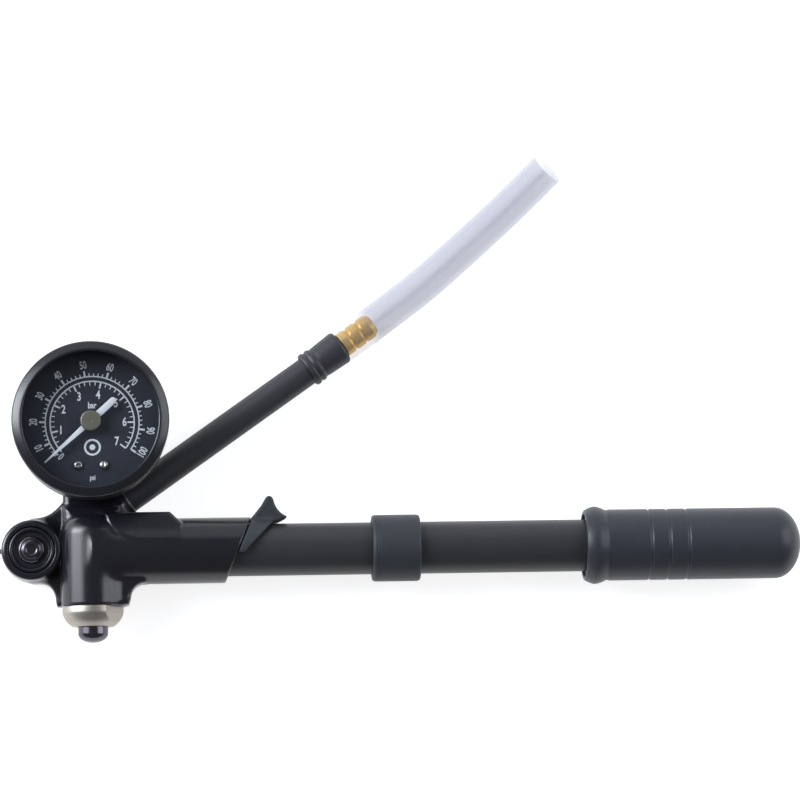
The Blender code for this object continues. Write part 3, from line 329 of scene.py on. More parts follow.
def lathe_mesh(name, outline, place, segments=96):
    """A turned mesh from a closed (radius, height) outline in mm, about the place's Z."""
    verts, rings = [], []
    for radius, height in outline:
        count = segments if radius > 1e-6 else 1
        rings.append(range(len(verts), len(verts) + count))
        for i in range(count):
            angle = 2 * pi * i / segments
            spot = place @ Vector((radius * cos(angle), radius * sin(angle), height))
            verts.append(spot * MM)
    faces = []
    for ring, following in zip(rings, rings[1:] + rings[:1]):
        for i in range(segments):
            j = (i + 1) % segments
            if len(ring) > 1 and len(following) > 1:
                faces.append((ring[i], ring[j], following[j], following[i]))
            elif len(ring) > 1:
                faces.append((ring[i], ring[j], following[0]))
            elif len(following) > 1:
                faces.append((ring[0], following[j], following[i]))
    mesh = bpy.data.meshes.new(name)
    mesh.from_pydata(verts, [], faces)
    outward(mesh)
    return mesh


def outward(mesh):
    bm = bmesh.new()
    bm.from_mesh(mesh)
    bmesh.ops.recalc_face_normals(bm, faces=bm.faces)
    bm.to_mesh(mesh)
    bm.free()


def turned(name, corners, place, finish, body=BODY, replaced=None, segments=96):
    obj = keep(name, lathe_mesh(name, rounded(corners), place, segments), finish, body, replaced)
    weighted = obj.modifiers.new("even_normals", "WEIGHTED_NORMAL")
    weighted.keep_sharp = True
    return obj


def arc(centre, radius, start, end, steps):
    angles = [start + (end - start) * i / steps for i in range(steps + 1)]
    return [(centre[0] + radius * cos(a), centre[1] + radius * sin(a)) for a in angles]


# ---------------------------------------------------------------- solids from distance fields


class Field:
    """Distances in mm on a regular grid, from which a smooth cast or moulded skin is drawn."""

    def __init__(self, low, high, cell):
        self.low = np.array(low, float)
        self.cell = cell
        counts = [ceil((b - a) / cell) + 1 for a, b in zip(low, high)]
        spans = [np.arange(n, dtype=np.float32) * cell + a for n, a in zip(counts, low)]
        self.x, self.y, self.z = np.meshgrid(*spans, indexing="ij", sparse=True)
        self.shape = tuple(counts)

    def cylinder(self, origin, direction, radius, low, high, edge=0.5):
        """A round bar along direction from low to high, its rims rounded by edge."""
        way = Vector(direction).normalized()
        dx, dy, dz = self.x - origin[0], self.y - origin[1], self.z - origin[2]
        along = dx * way.x + dy * way.y + dz * way.z
        away = np.sqrt(np.maximum(dx * dx + dy * dy + dz * dz - along * along, 0))
        return rounded_meet(away - radius, np.abs(along - (low + high) / 2) - (high - low) / 2, edge)

    def slab(self, outline, low, high, edge=0.5):
        """A flat (x, y) outline from low to high along Z, its rims rounded by edge."""
        return rounded_meet(
            self.outline(outline), np.abs(self.z - (low + high) / 2) - (high - low) / 2, edge
        )

    def outline(self, corners):
        """Signed distance to a closed (x, y) outline."""
        nearest = np.full((self.shape[0], self.shape[1], 1), 1e6, np.float32)
        inside = np.zeros(nearest.shape, bool)
        for (ax, ay), (bx, by) in zip(corners, corners[1:] + corners[:1]):
            ex, ey = bx - ax, by - ay
            px, py = self.x - ax, self.y - ay
            share = np.clip((px * ex + py * ey) / (ex * ex + ey * ey + 1e-12), 0, 1)
            nearest = np.minimum(nearest, (px - ex * share) ** 2 + (py - ey * share) ** 2)
            if ay != by:
                crossing = (self.y >= min(ay, by)) & (self.y < max(ay, by))
                inside ^= crossing & (self.x < ax + (self.y - ay) * ex / ey)
        return np.where(inside, -1, 1) * np.sqrt(nearest)

    def skin(self, name, distance):
        """The closed mesh where the distance is nought."""
        grid = openvdb.FloatGrid(3.0)
        values = np.broadcast_to(distance, self.shape)
        grid.copyFromArray(np.ascontiguousarray(np.clip(values, -3, 3), np.float32))
        points, quads = grid.convertToQuads(0.0)
        points = (points * self.cell + self.low) * MM
        mesh = bpy.data.meshes.new(name)
        mesh.from_pydata(points.tolist(), [], quads.tolist())
        outward(mesh)
        return mesh


def rounded_meet(a, b, edge):
    """Where both are inside, with the corner between them rounded by edge."""
    a, b = a + edge, b + edge
    return np.minimum(np.maximum(a, b), 0) + np.hypot(np.maximum(a, 0), np.maximum(b, 0)) - edge


def join(a, b, blend):
    """Either solid, with a hollow fillet of about the blend's size where they meet."""
    h = np.maximum(blend - np.abs(a - b), 0) / blend
    return np.minimum(a, b) - h**3 * blend / 6


def carve(a, b, blend=0.4):
    """The first solid without the second, its new edges slightly rounded."""
    h = np.maximum(blend - np.abs(a + b), 0) / blend
    return np.maximum(a, -b) + h**3 * blend / 6


def common(a, b, blend=0.4):
    return carve(a, -b, blend)


# ---------------------------------------------------------------- the head casting


def hose_point(distance):
    """A point on the hose port's axis, this far out of its mouth."""
    x = HOSE_EXIT[0] + distance * cos(HOSE_ANGLE)
    y = HOSE_EXIT[1] + distance * sin(HOSE_ANGLE)
    return Vector((x, y, HOSE_HEIGHT))


def boot_point(distance):
    """A point on the boot's axis, this far from its start."""
    x = BOOT_START[0] + distance * cos(BOOT_ANGLE)
    y = BOOT_START[1] + distance * sin(BOOT_ANGLE)
    return Vector((x, y, HOSE_HEIGHT))


def web_outline():
    """The flat web between the lug and the column, down to the column's foot."""
    upper = arc((-21.6, 25.3), 15.4, radians(-78), radians(-38), 12)
    lower = arc((-18.7, -15), 7.2, 0, radians(85), 12)
    return [(0, 11)] + upper[::-1] + lower[::-1] + [(-FOOT_REACH, WEB_FOOT), (0, WEB_FOOT)]


def gusset_outline():
    """The fillet plate between the column's foot and the sleeve."""
    curve = arc((16.6, -14.8), 4.8, pi, pi / 2, 12)
    return [(0, 0), (0, WEB_FOOT), (FOOT_REACH, WEB_FOOT), *curve, (curve[-1][0], 0)]


def head_casting():
    """One poured skin: column, sleeve, shelf, neck, web, gusset, lug and hose boss."""
    f = Field((-30.5, -18.5, -1.2), (51.5, 37.5, 24.4), 0.34)
    up_y, out_x, out_z = (0, 1, 0), (1, 0, 0), (0, 0, 1)
    centre = (0, 0, AXIS)
    foot = f.cylinder(centre, up_y, COLUMN_RADIUS, COLUMN_FOOT, 4, 0.3)
    dome = f.cylinder(centre, up_y, COLUMN_RADIUS, -9, 11.3, 6.0)
    column = np.minimum(foot, dome)
    sleeve = f.cylinder(centre, out_x, SLEEVE_RADIUS, 0, 56, 0.5)
    low, high = Vector(SLEEVE_CUT_LOW), Vector(SLEEVE_CUT_HIGH)
    slant = (high - low).normalized()
    past_end = (f.x - low.x) * slant.y - (f.y - low.y) * slant.x
    sleeve = common(sleeve, past_end, 0.8)
    sweep = [(4.2, 11.4), (4.6, 9.4), (5.8, 7.2), (7.9, 5.2), (10.5, 3.7), (13.6, 2.7), (17.0, 2.4)]
    above = (f.z - AXIS - 9.95 + SHELF_SLOPE * (f.y - 2.6)) / (1 + SHELF_SLOPE**2) ** 0.5
    shelf = f.outline([*sweep, (27.6, 2.4), (28, 8), (24.2, 11.8), (13.5, 11.8)])
    shelf = rounded_meet(shelf, np.maximum(above, 5.5 - f.z), 0.9)
    side = NECK_RADIUS
    neck_end = arc((0, STEM_Y), side, 0, pi, 24)
    neck = f.slab(neck_end + [(-side, -4), (side, -4)], 0.6, 11.0, 2.5)
    step = f.slab([(-side, -3), (side, -3), (side, NECK_STEP), (-side, NECK_STEP)], 1.0, 14.2, 3.2)
    web = f.slab(web_outline(), WEB_BACK, WEB_FRONT, 1.3)
    gusset = f.slab(gusset_outline(), 7.0, 18.0, 1.5)
    lug = f.cylinder((LUG_X, LUG_Y, 0), out_z, LUG_RADIUS, 2.0, LUG_FRONT, 1.2)
    nub_x = LUG_X - LUG_RADIUS - 0.7
    nub_outline = [(LUG_X, 4), (nub_x, 0.5), (nub_x, -0.5), (LUG_X, -4)]
    nub = f.slab([(x, y + LUG_Y) for x, y in nub_outline], 8, 12, 0.3)
    pad = f.slab([(-8, -13), (9, -13), (9, 12), (-8, 12)], 0, 8, 0.5)
    along_hose = (cos(HOSE_ANGLE), sin(HOSE_ANGLE), 0)
    boss = f.cylinder(hose_point(0), along_hose, 5.9, -12, 0, 0.7)
    body = join(column, join(sleeve, gusset, 1.5), 3.4)
    arm = join(neck, step, 1.5)
    skin = join(body, join(arm, boss, 3.0), 1.4)
    skin = np.minimum(skin, join(shelf, arm, 7.0))
    skin = np.minimum(skin, join(shelf, body, 1.0))
    skin = join(skin, join(join(web, lug, 5.5), nub, 1.2), 0.7)
    skin = np.maximum(join(skin, pad, 0.8), -f.z)
    lug_centre = (LUG_X, LUG_Y, 0)
    openings = [
        f.cylinder(centre, out_x, BARREL_RADIUS + GAP, 17, 70, 0.2),
        f.cylinder(centre, up_y, BLEED_BORE, COLUMN_FOOT - 4, BLEED_STEP, 0.2),
        f.cylinder((0, STEM_Y, 0), out_z, 4.3, 2.6, 20, 0.2),
        f.cylinder(hose_point(0), along_hose, HOSE_RADIUS + GAP, -6, 9, 0.2),
        f.cylinder(lug_centre, out_z, 2.1, 5.0, LUG_FRONT + 4, 0.2),
    ]
    inner_hollows = [
        f.cylinder(lug_centre, out_z, LUG_RECESS, LUG_FRONT - 1.5, LUG_FRONT + 4, 0.1),
        f.cylinder(centre, up_y, SEAT_BORE, BLEED_STEP - 1.1, SEAT_SHOULDER, 0.1),
        f.cylinder(centre, up_y, CHAMBER_RADIUS, SEAT_SHOULDER - 0.8, CHAMBER_TOP, 0.1),
        f.cylinder(centre, out_x, SPRING_WELL, 12.5, 18, 0.1),
        f.cylinder(centre, out_x, PASSAGE, 0, 14, 0.1),
        f.cylinder(hose_point(0), along_hose, NIPPLE_WELL, -12, -5, 0.1),
        f.cylinder((0, 0, 8.4), up_y, PASSAGE, 2, STEM_Y, 0.1),
    ]
    for hollow in openings:
        skin = carve(skin, hollow, 0.5)
    for hollow in inner_hollows:
        skin = carve(skin, hollow, 0.2)
    keep("casting", f.skin("casting", skin), "gloss_black", replaced="head_casting", flat=80)


def hook_saddle():
    """The saddle on the barrel at the sleeve's end, and its fin."""
    f = Field((38, -13, 0), (63.5, 19.5, 25), 0.24)
    centre = (0, 0, AXIS)
    low, high = Vector(SLEEVE_CUT_LOW), Vector(SLEEVE_CUT_HIGH)
    end = high - low
    past = Vector((end.y, -end.x)).normalized() * GAP

    def on_end(y):
        return tuple(low + end * (y - low.y) / end.y + past)

    front = (56.0, 8.2)
    seat = f.slab([on_end(-1.2), (47.3, -1.2), front, (56.5, 11), on_end(11)], 1, 24, 0.3)
    seat = common(seat, f.cylinder(centre, (1, 0, 0), 9.9, 30, 80), 0.6)
    flank = arc((63.4, 16.6), 6.9, radians(188), radians(248), 10)
    crest = arc((55.2, 15.4), 1.3, radians(10), radians(150), 8)
    fin_outline = [on_end(4), (52.0, 4), front, (58.0, 8.5), (60.3, 9.7), *flank[::-1], *crest]
    fin_outline += [(52.6, 13.6), on_end(10.4)]
    fin = f.slab(fin_outline, AXIS - 3.4, AXIS + 3.4, 0.9)
    skin = join(seat, fin, 1.6)
    skin = carve(skin, f.cylinder(centre, (1, 0, 0), BARREL_RADIUS + GAP, 20, 90, 0), 0.2)
    keep("hook_and_saddle", f.skin("hook", skin), "matte_black", replaced="hook_saddle", flat=80)


# ---------------------------------------------------------------- turned pieces of the head


def lug_fittings():
    """The dish in the lug and the socket screw in its middle."""
    rim = LUG_CAP_HIGH.x - LUG_X
    low, high = LUG_CAP_LOW.z, LUG_CAP_HIGH.z
    cap = [
        (2.1, low), (rim, low), (rim, high - 0.35), (rim - 0.45, high, 0.3),
        (rim - 1.0, high - 0.1, 0.3), (rim - 1.6, high - 0.75, 0.4), (2.1, high - 0.75),
    ]
    turned("lug_dish", cap, AT_LUG, "gloss_black", replaced="lug_cap")
    screw_low, screw_high = (corner.z for corner in box("lug_screw"))
    head = screw_high - 1.8
    socket_floor = head + 0.5
    screw = [
        (0, screw_low), (1.8, screw_low), (1.8, head), (4.2, head), (4.15, head + 0.7, 0.4),
        (3.6, head + 1.3, 0.3), (3.0, head + 1.2, 0.2), (2.7, screw_high - 0.2, 0.3),
        (1.9, screw_high, 0.2), (1.5, screw_high - 0.2, 0.1),
        (1.45, socket_floor, 0.1), (0, socket_floor),
    ]
    turned("lug_bolt", screw, AT_LUG, "dark_chrome", replaced="lug_screw", segments=72)


def bleed_valve():
    """The round nut with two flats, and the domed button in it."""
    low, high = NUT_LOW.y, NUT_HIGH.y
    radius, flats, turn = 9.5, 8.0, radians(58)
    face = COLUMN_FOOT - GAP
    outline = rounded([
        (4.85, low), (6.5, low, 0.3), (8.2, low + 1.5, 1.2), (9.1, low + 3.0, 1.2),
        (radius, low + 4.2, 0.3), (radius, face, 0.15), (7.5, face), (7.5, high), (5.9, high),
        (5.9, low + 1.8), (4.85, low + 1.8),
    ])
    mesh = lathe_mesh("nut", outline, Matrix.Identity(4), 360)
    across = Vector((-sin(turn), cos(turn), 0))
    for vert in mesh.vertices:
        spot = vert.co / MM
        over = abs(spot.dot(across)) - flats
        if over > 0:
            vert.co -= across * (over * MM if spot.dot(across) > 0 else -over * MM)
    mesh.transform(Matrix.Scale(MM, 4) @ ALONG_COLUMN @ Matrix.Scale(1 / MM, 4))
    nut = keep("bleed_cap_nut", mesh, "nickel", replaced="bleed_nut", flat=28)
    nut.modifiers.new("even_normals", "WEIGHTED_NORMAL").keep_sharp = True
    tip, top = BUTTON_LOW.y, BUTTON_HIGH.y
    dome = [(4.7 * sin(a), tip + 2.9 - 2.9 * cos(a), 0) for a in np.linspace(0, pi / 2, 12)]
    button = dome + [
        (4.7, -21.2), (5.5, -21.2), (5.5, -20.0), (1.5, -20.0), (1.5, top - 1.0),
        (3.0, top - 1.0), (3.0, top), (0, top),
    ]
    turned("bleed_push_button", button, ALONG_COLUMN, "dark_chrome", "bleed_button", "bleed_button")


def barrel():
    """The tube, the collar on it, and the gland and wiper in its end."""
    start, end = BARREL_LOW.x, BARREL_HIGH.x
    tube = [(7.0, start), (BARREL_RADIUS, start), (BARREL_RADIUS, end), (7.0, end)]
    turned("pump_barrel", tube, ALONG_BARREL, "satin_black", replaced="barrel_tube", segments=128)
    inner = BARREL_RADIUS + GAP
    radius = (BAND_HIGH.z - BAND_LOW.z) / 2
    low, high = BAND_LOW.x, BAND_HIGH.x
    band = [(inner, low), (radius - 0.35, low, 0.5), (radius, low + 0.9, 0.6)]
    for at in (low + 1.5, low + 2.2):
        band += [(radius, at - 0.15, 0.05), (radius - 0.14, at, 0.05), (radius, at + 0.15, 0.05)]
    band += [(radius, high - 0.9, 0.6), (radius - 0.35, high, 0.5), (inner, high)]
    turned("collar", band, ALONG_BARREL, "matte_black", replaced="collar_band", segments=128)
    seat = end + GAP
    gland = [
        (3.2, end - 8), (6.7, end - 8), (6.7, seat), (BARREL_RADIUS, seat),
        (BARREL_RADIUS, seat + 2.4, 0.5), (4.8, seat + 2.4), (4.8, seat - 0.4), (3.2, seat - 0.4),
    ]
    turned("barrel_end_gland", gland, ALONG_BARREL, "brass", replaced="barrel_gland")
    seal = [(3.1, seat, 0.2), (4.5, seat, 0.3), (4.5, seat + 1.8, 0.4), (3.1, seat + 1.8, 0.3)]
    turned("rod_wiper", seal, ALONG_BARREL, "seal", replaced="rod_seal")


def handle():
    """The grip with its flange, ring grooves and round end, then the core and rod inside it."""
    mouth, end = GRIP_LOW.x, GRIP_HIGH.x
    flange = (GRIP_HIGH.z - GRIP_LOW.z) / 2
    grip, bore = 11.2, 9.9
    outline = [
        (bore, mouth), (bore + 1.0, mouth, 0.4), (flange - 0.7, mouth + 1.2, 0.8),
        (flange, mouth + 3.2, 1.0), (flange - 0.5, mouth + 5.2, 0.9), (grip - 0.25, mouth + 7.0, 0.5),
        (grip, mouth + 7.8, 0.4),
    ]
    for groove in (mouth + 20.4, mouth + 26.2, mouth + 32.2):
        outline += [(grip, groove - 0.55, 0.2), (grip - 0.4, groove, 0.25), (grip, groove + 0.55, 0.2)]
    nose = end - 8.2
    outline += [(grip * cos(a), nose + 8.2 * sin(a), 0) for a in np.linspace(0, pi / 2, 14)[:-1]]
    outline += [(0, end), (0, end - 3.0), (6.0, end - 3.0), (6.0, end - 6.0), (bore, end - 6.0)]
    turned("handle_sleeve", outline, ALONG_BARREL, "grip", "handle", "handle_grip", 160)
    core_low, core_high = box("handle_core")
    core = [(8.7, core_low.x), (9.6, core_low.x), (9.6, core_high.x), (8.7, core_high.x)]
    turned("handle_liner", core, ALONG_BARREL, "aluminium", "handle", "handle_core")
    rod_low, rod_high = box("piston_rod")
    rod = [(0, rod_low.x), (3.0, rod_low.x), (3.0, rod_high.x, 0.5), (0, rod_high.x)]
    turned("pump_rod", rod, ALONG_BARREL, "steel", "handle", "piston_rod", 64)


# ---------------------------------------------------------------- gauge


def gauge_shell():
    """The case, the bezel, the glass, the dial and its screws."""
    low, rim = CASE_LOW.z, CASE_HIGH.z
    radius, inner, floor = CASE_HIGH.x, 23.0, 13.4
    case = [
        (0, low), (radius - 1.6, low, 0.5), (radius, low + 1.6, 1.2), (radius, rim, 0.2),
        (inner, rim), (inner, floor, 0.6), (0, floor),
    ]
    turned("gauge_can", case, AT_GAUGE, "satin_black", replaced="gauge_case", segments=180)
    outer = BEZEL_HIGH.x
    low, front, opening = BEZEL_LOW.z, BEZEL_HIGH.z, 20.0
    bezel = [
        (outer, low, 0.2), (outer, front - 1.7, 0.5), (outer - 0.35, front - 1.1, 0.4),
        (outer - 1.0, front - 0.75, 0.5), (outer - 2.2, front - 0.22, 0.8),
        (opening + 1.35, front, 0.3), (opening + 0.9, front - 0.4, 0.3), (opening + 1.1, front - 1.2, 0.3),
        (opening + 1.1, low),
    ]
    turned("gauge_ring", bezel, AT_GAUGE, "gloss_black", replaced="gauge_bezel", segments=200)
    glass = [(0, LENS_LOW.z), (LENS_HIGH.x, LENS_LOW.z), (LENS_HIGH.x, LENS_HIGH.z), (0, LENS_HIGH.z)]
    turned("gauge_window", glass, AT_GAUGE, "lens", replaced="gauge_lens", segments=128)
    plate = [(1.4, DIAL_LOW.z), (DIAL_HIGH.x, DIAL_LOW.z), (DIAL_HIGH.x, DIAL_HIGH.z), (1.4, DIAL_HIGH.z)]
    turned("dial", plate, AT_GAUGE, "dial", replaced="dial_plate", segments=128)
    for number in (1, 2):
        dial_screw(number)


def dial_screw(number):
    """A small domed screw with a straight slot."""
    node = f"dial_screw_{number}"
    low, high = box(node)
    place = Matrix.Translation(((low.x + high.x) / 2, (low.y + high.y) / 2, 0))
    head = high.z - 0.9
    outline = rounded([
        (0, low.z), (0.8, low.z), (0.8, head), (1.5, head, 0.1), (1.45, head + 0.35, 0.25),
        (0.95, high.z - 0.06, 0.4), (0, high.z),
    ])
    screw = keep(f"dial_face_screw_{number}", lathe_mesh(node, outline, place, 48), "steel", replaced=node)
    slot = bpy.data.objects.new("slot", box_mesh((-0.14, -1.0, high.z - 0.35), (0.14, 1.0, high.z + 1)))
    slot.matrix_world = Matrix.Scale(MM, 4) @ place @ Matrix.Rotation(radians(35 + 70 * number), 4, "Z")
    bpy.context.scene.collection.objects.link(slot)
    apply_boolean(screw, slot)


def box_mesh(low, high):
    bm = bmesh.new()
    bmesh.ops.create_cube(bm, size=1)
    size = Vector(high) - Vector(low)
    middle = (Vector(high) + Vector(low)) / 2
    bmesh.ops.scale(bm, vec=size, verts=bm.verts)
    bmesh.ops.translate(bm, vec=middle, verts=bm.verts)
    mesh = bpy.data.meshes.new("box")
    bm.to_mesh(mesh)
    bm.free()
    return mesh


def apply_boolean(obj, cutter):
    """Cuts the cutter's shape out of the piece for good, and removes the cutter."""
    modifier = obj.modifiers.new("cut", "BOOLEAN")
    modifier.operation = "DIFFERENCE"
    modifier.solver = "EXACT"
    modifier.object = cutter
    graph = bpy.context.evaluated_depsgraph_get()
    result = bpy.data.meshes.new_from_object(obj.evaluated_get(graph))
    obj.modifiers.clear()
    obj.data = result
    bpy.data.objects.remove(cutter, do_unlink=True)


def on_dial(radius, angle):
    """A point on the dial's print, the angle clockwise from straight up."""
    return PRINT_SHIFT[0] + radius * sin(angle), GAUGE_Y + PRINT_SHIFT[1] + radius * cos(angle)


def bar_of_print(bm, inner, outer, start, end, level, steps=1):
    """One printed stroke between two radii and two angles, as a very thin raised strip."""
    lower, upper = [], []
    for i in range(steps + 1):
        angle = start + (end - start) * i / steps
        for radius in (inner, outer):
            x, y = on_dial(radius, angle)
            lower.append(bm.verts.new(Vector((x, y, level)) * MM))
            upper.append(bm.verts.new(Vector((x, y, level + 0.04)) * MM))
    for i in range(0, 2 * steps, 2):
        bm.faces.new((upper[i], upper[i + 1], upper[i + 3], upper[i + 2]))
        bm.faces.new((lower[i], lower[i + 2], lower[i + 3], lower[i + 1]))
        bm.faces.new((lower[i], upper[i], upper[i + 2], lower[i + 2]))
        bm.faces.new((lower[i + 1], lower[i + 3], upper[i + 3], upper[i + 1]))
    bm.faces.new((lower[0], lower[1], upper[1], upper[0]))
    bm.faces.new((lower[-2], upper[-2], upper[-1], lower[-1]))


def lettering(bm, text, height, radius, angle, level, turned_by=0.0, squeeze=0.72):
    """Printed figures centred on a dial place, turned clockwise from upright."""
    curve = bpy.data.curves.new("figures", "FONT")
    curve.body = text
    curve.size = height * 1.38 * MM
    curve.align_x = "CENTER"
    curve.align_y = "CENTER"
    curve.extrude = 0.02 * MM
    curve.offset = 0.032 * height * MM
    curve.resolution_u = 4
    obj = bpy.data.objects.new("figures", curve)
    bpy.context.scene.collection.objects.link(obj)
    graph = bpy.context.evaluated_depsgraph_get()
    mesh = bpy.data.meshes.new_from_object(obj.evaluated_get(graph))
    x, y = on_dial(radius, angle)
    turn = Matrix.Rotation(-turned_by, 4, "Z")
    place = Matrix.Translation(Vector((x, y, level + 0.02)) * MM)
    mesh.transform(place @ turn @ Matrix.Diagonal((squeeze, 1, 1, 1)))
    bm.from_mesh(mesh)
    bpy.data.meshes.remove(mesh)
    bpy.data.objects.remove(obj, do_unlink=True)
    bpy.data.curves.remove(curve)


def dial_print():
    """Two scales, their figures and units, and a plain ring mark."""
    bm = bmesh.new()
    level = DIAL_HIGH.z + 0.01
    outer_ring, inner_ring, half_line = 14.5, 13.0, 0.20
    for ring, end in ((outer_ring, PSI_ZERO + 100 * PSI_STEP), (inner_ring, BAR_ZERO + 7 * BAR_STEP)):
        bar_of_print(bm, ring - half_line, ring + half_line, PRINT_START, end, level, 90)
    for psi in range(0, 101, 2):
        major = psi % 10 == 0
        half = (0.28 if major else 0.15) / outer_ring
        angle = PSI_ZERO + psi * PSI_STEP
        if angle < PRINT_START:
            continue
        bar_of_print(bm, outer_ring, 16.4 if major else 15.5, angle - half, angle + half, level)
        if major:
            last = psi == 100
            at = angle - (radians(3.6) if last else 0)
            lettering(bm, str(psi), 2.5, 18.1, at, level, at - pi if last else at, 0.64)
    for fifth in range(36):
        major = fifth % 5 == 0
        half = (0.26 if major else 0.14) / inner_ring
        angle = BAR_ZERO + fifth * BAR_STEP / 5
        if angle < PRINT_START:
            continue
        bar_of_print(bm, 10.9 if major else 11.7, inner_ring, angle - half, angle + half, level)
        if major:
            lettering(bm, str(fifth // 5), 2.7, 8.8 + 1.2 * sin(angle) ** 2, angle, level)
    lettering(bm, "0", 2.4, 14.07, radians(-137), level, radians(-137), 0.64)
    lettering(bm, "bar", 2.0, 5.4, 0, level)
    lettering(bm, "psi", 1.6, 17.1, pi, level)
    mark = on_dial(7.6, pi)
    ring_mark(bm, mark, 2.0, 2.6, level)
    ring_mark(bm, mark, 0.0, 0.9, level)
    mesh = bpy.data.meshes.new("print")
    bmesh.ops.recalc_face_normals(bm, faces=bm.faces)
    bm.to_mesh(mesh)
    bm.free()
    keep("dial_print", mesh, "white_print", flat=20)


def ring_mark(bm, centre, inner, outer, level, sides=48):
    """A plain printed ring or dot."""
    loops = []
    for radius, height in ((inner, level), (outer, level), (outer, level + 0.04), (inner, level + 0.04)):
        if radius:
            points = [(centre[0] + x, centre[1] + y) for x, y in arc((0, 0), radius, 0, 2 * pi, sides)[:-1]]
            loops.append([bm.verts.new(Vector((x, y, height)) * MM) for x, y in points])
        else:
            loops.append([bm.verts.new(Vector((*centre, height)) * MM)])
    for a, b in zip(loops, loops[1:] + loops[:1]):
        for i in range(sides):
            j = (i + 1) % sides
            if len(a) > 1 and len(b) > 1:
                bm.faces.new((a[i], a[j], b[j], b[i]))
            elif len(a) > 1:
                bm.faces.new((a[i], a[j], b[0]))
            elif len(b) > 1:
                bm.faces.new((a[0], b[j], b[i]))


def pointer():
    """The needle's blade, and the round hub over it."""
    low, high = (corner.z for corner in box("pointer"))
    tip, tail, half_tail = 19.2, 9.3, 1.05
    outline = [(-0.22, tip), (-0.85, 3), (-half_tail, 0), (-half_tail, -tail)]
    outline += arc((0, -tail), half_tail, radians(190), radians(350), 12)
    outline += [(half_tail, -tail), (half_tail, 0), (0.85, 3), (0.22, tip)]
    bm = bmesh.new()
    face = bm.faces.new([bm.verts.new(Vector((x, y, low)) * MM) for x, y in outline])
    grown = bmesh.ops.extrude_face_region(bm, geom=[face])["geom"]
    lifted = [part for part in grown if isinstance(part, bmesh.types.BMVert)]
    bmesh.ops.translate(bm, verts=lifted, vec=(0, 0, (high - low) * MM))
    bmesh.ops.recalc_face_normals(bm, faces=bm.faces)
    bmesh.ops.bevel(
        bm, geom=bm.edges, offset=0.06 * MM, segments=2, affect="EDGES", clamp_overlap=True, profile=0.5
    )
    mesh = bpy.data.meshes.new("needle")
    bm.to_mesh(mesh)
    bm.free()
    mesh.transform(Matrix.Translation((0, GAUGE_Y * MM, 0)) @ Matrix.Rotation(-POINTER_REST, 4, "Z"))
    keep("needle_blade", mesh, "white_print", "needle", "pointer")
    low, high = (corner.z for corner in box("pointer_hub"))
    hub = [
        (0, high - 0.12), (0.35, high - 0.12, 0.05), (0.4, high, 0.05), (2.9, high, 0.2),
        (3.25, high - 0.35, 0.25), (3.25, low), (0.75, low), (0.75, low + 0.7), (0, low + 0.8),
    ]
    turned("needle_hub", hub, AT_GAUGE, "hub", "needle", "pointer_hub", 72)


# ---------------------------------------------------------------- hose, fitting and clear tube


def smooth_curve(route, spacing):
    """Points about this far apart on one smooth curve through the route."""
    route = [Vector(p) for p in route]
    padded = [2 * route[0] - route[1]] + route + [2 * route[-1] - route[-2]]
    points = [route[0]]
    for a, b, c, d in zip(padded, padded[1:], padded[2:], padded[3:]):
        steps = max(1, ceil((c - b).length / spacing))
        for i in range(1, steps + 1):
            t = i / steps
            spread = (2 * a - 5 * b + 4 * c - d) * t**2 + (3 * b - a - 3 * c + d) * t**3
            points.append(0.5 * (2 * b + (c - a) * t + spread))
    return points


def length_of(points):
    return sum((b - a).length for a, b in zip(points, points[1:]))


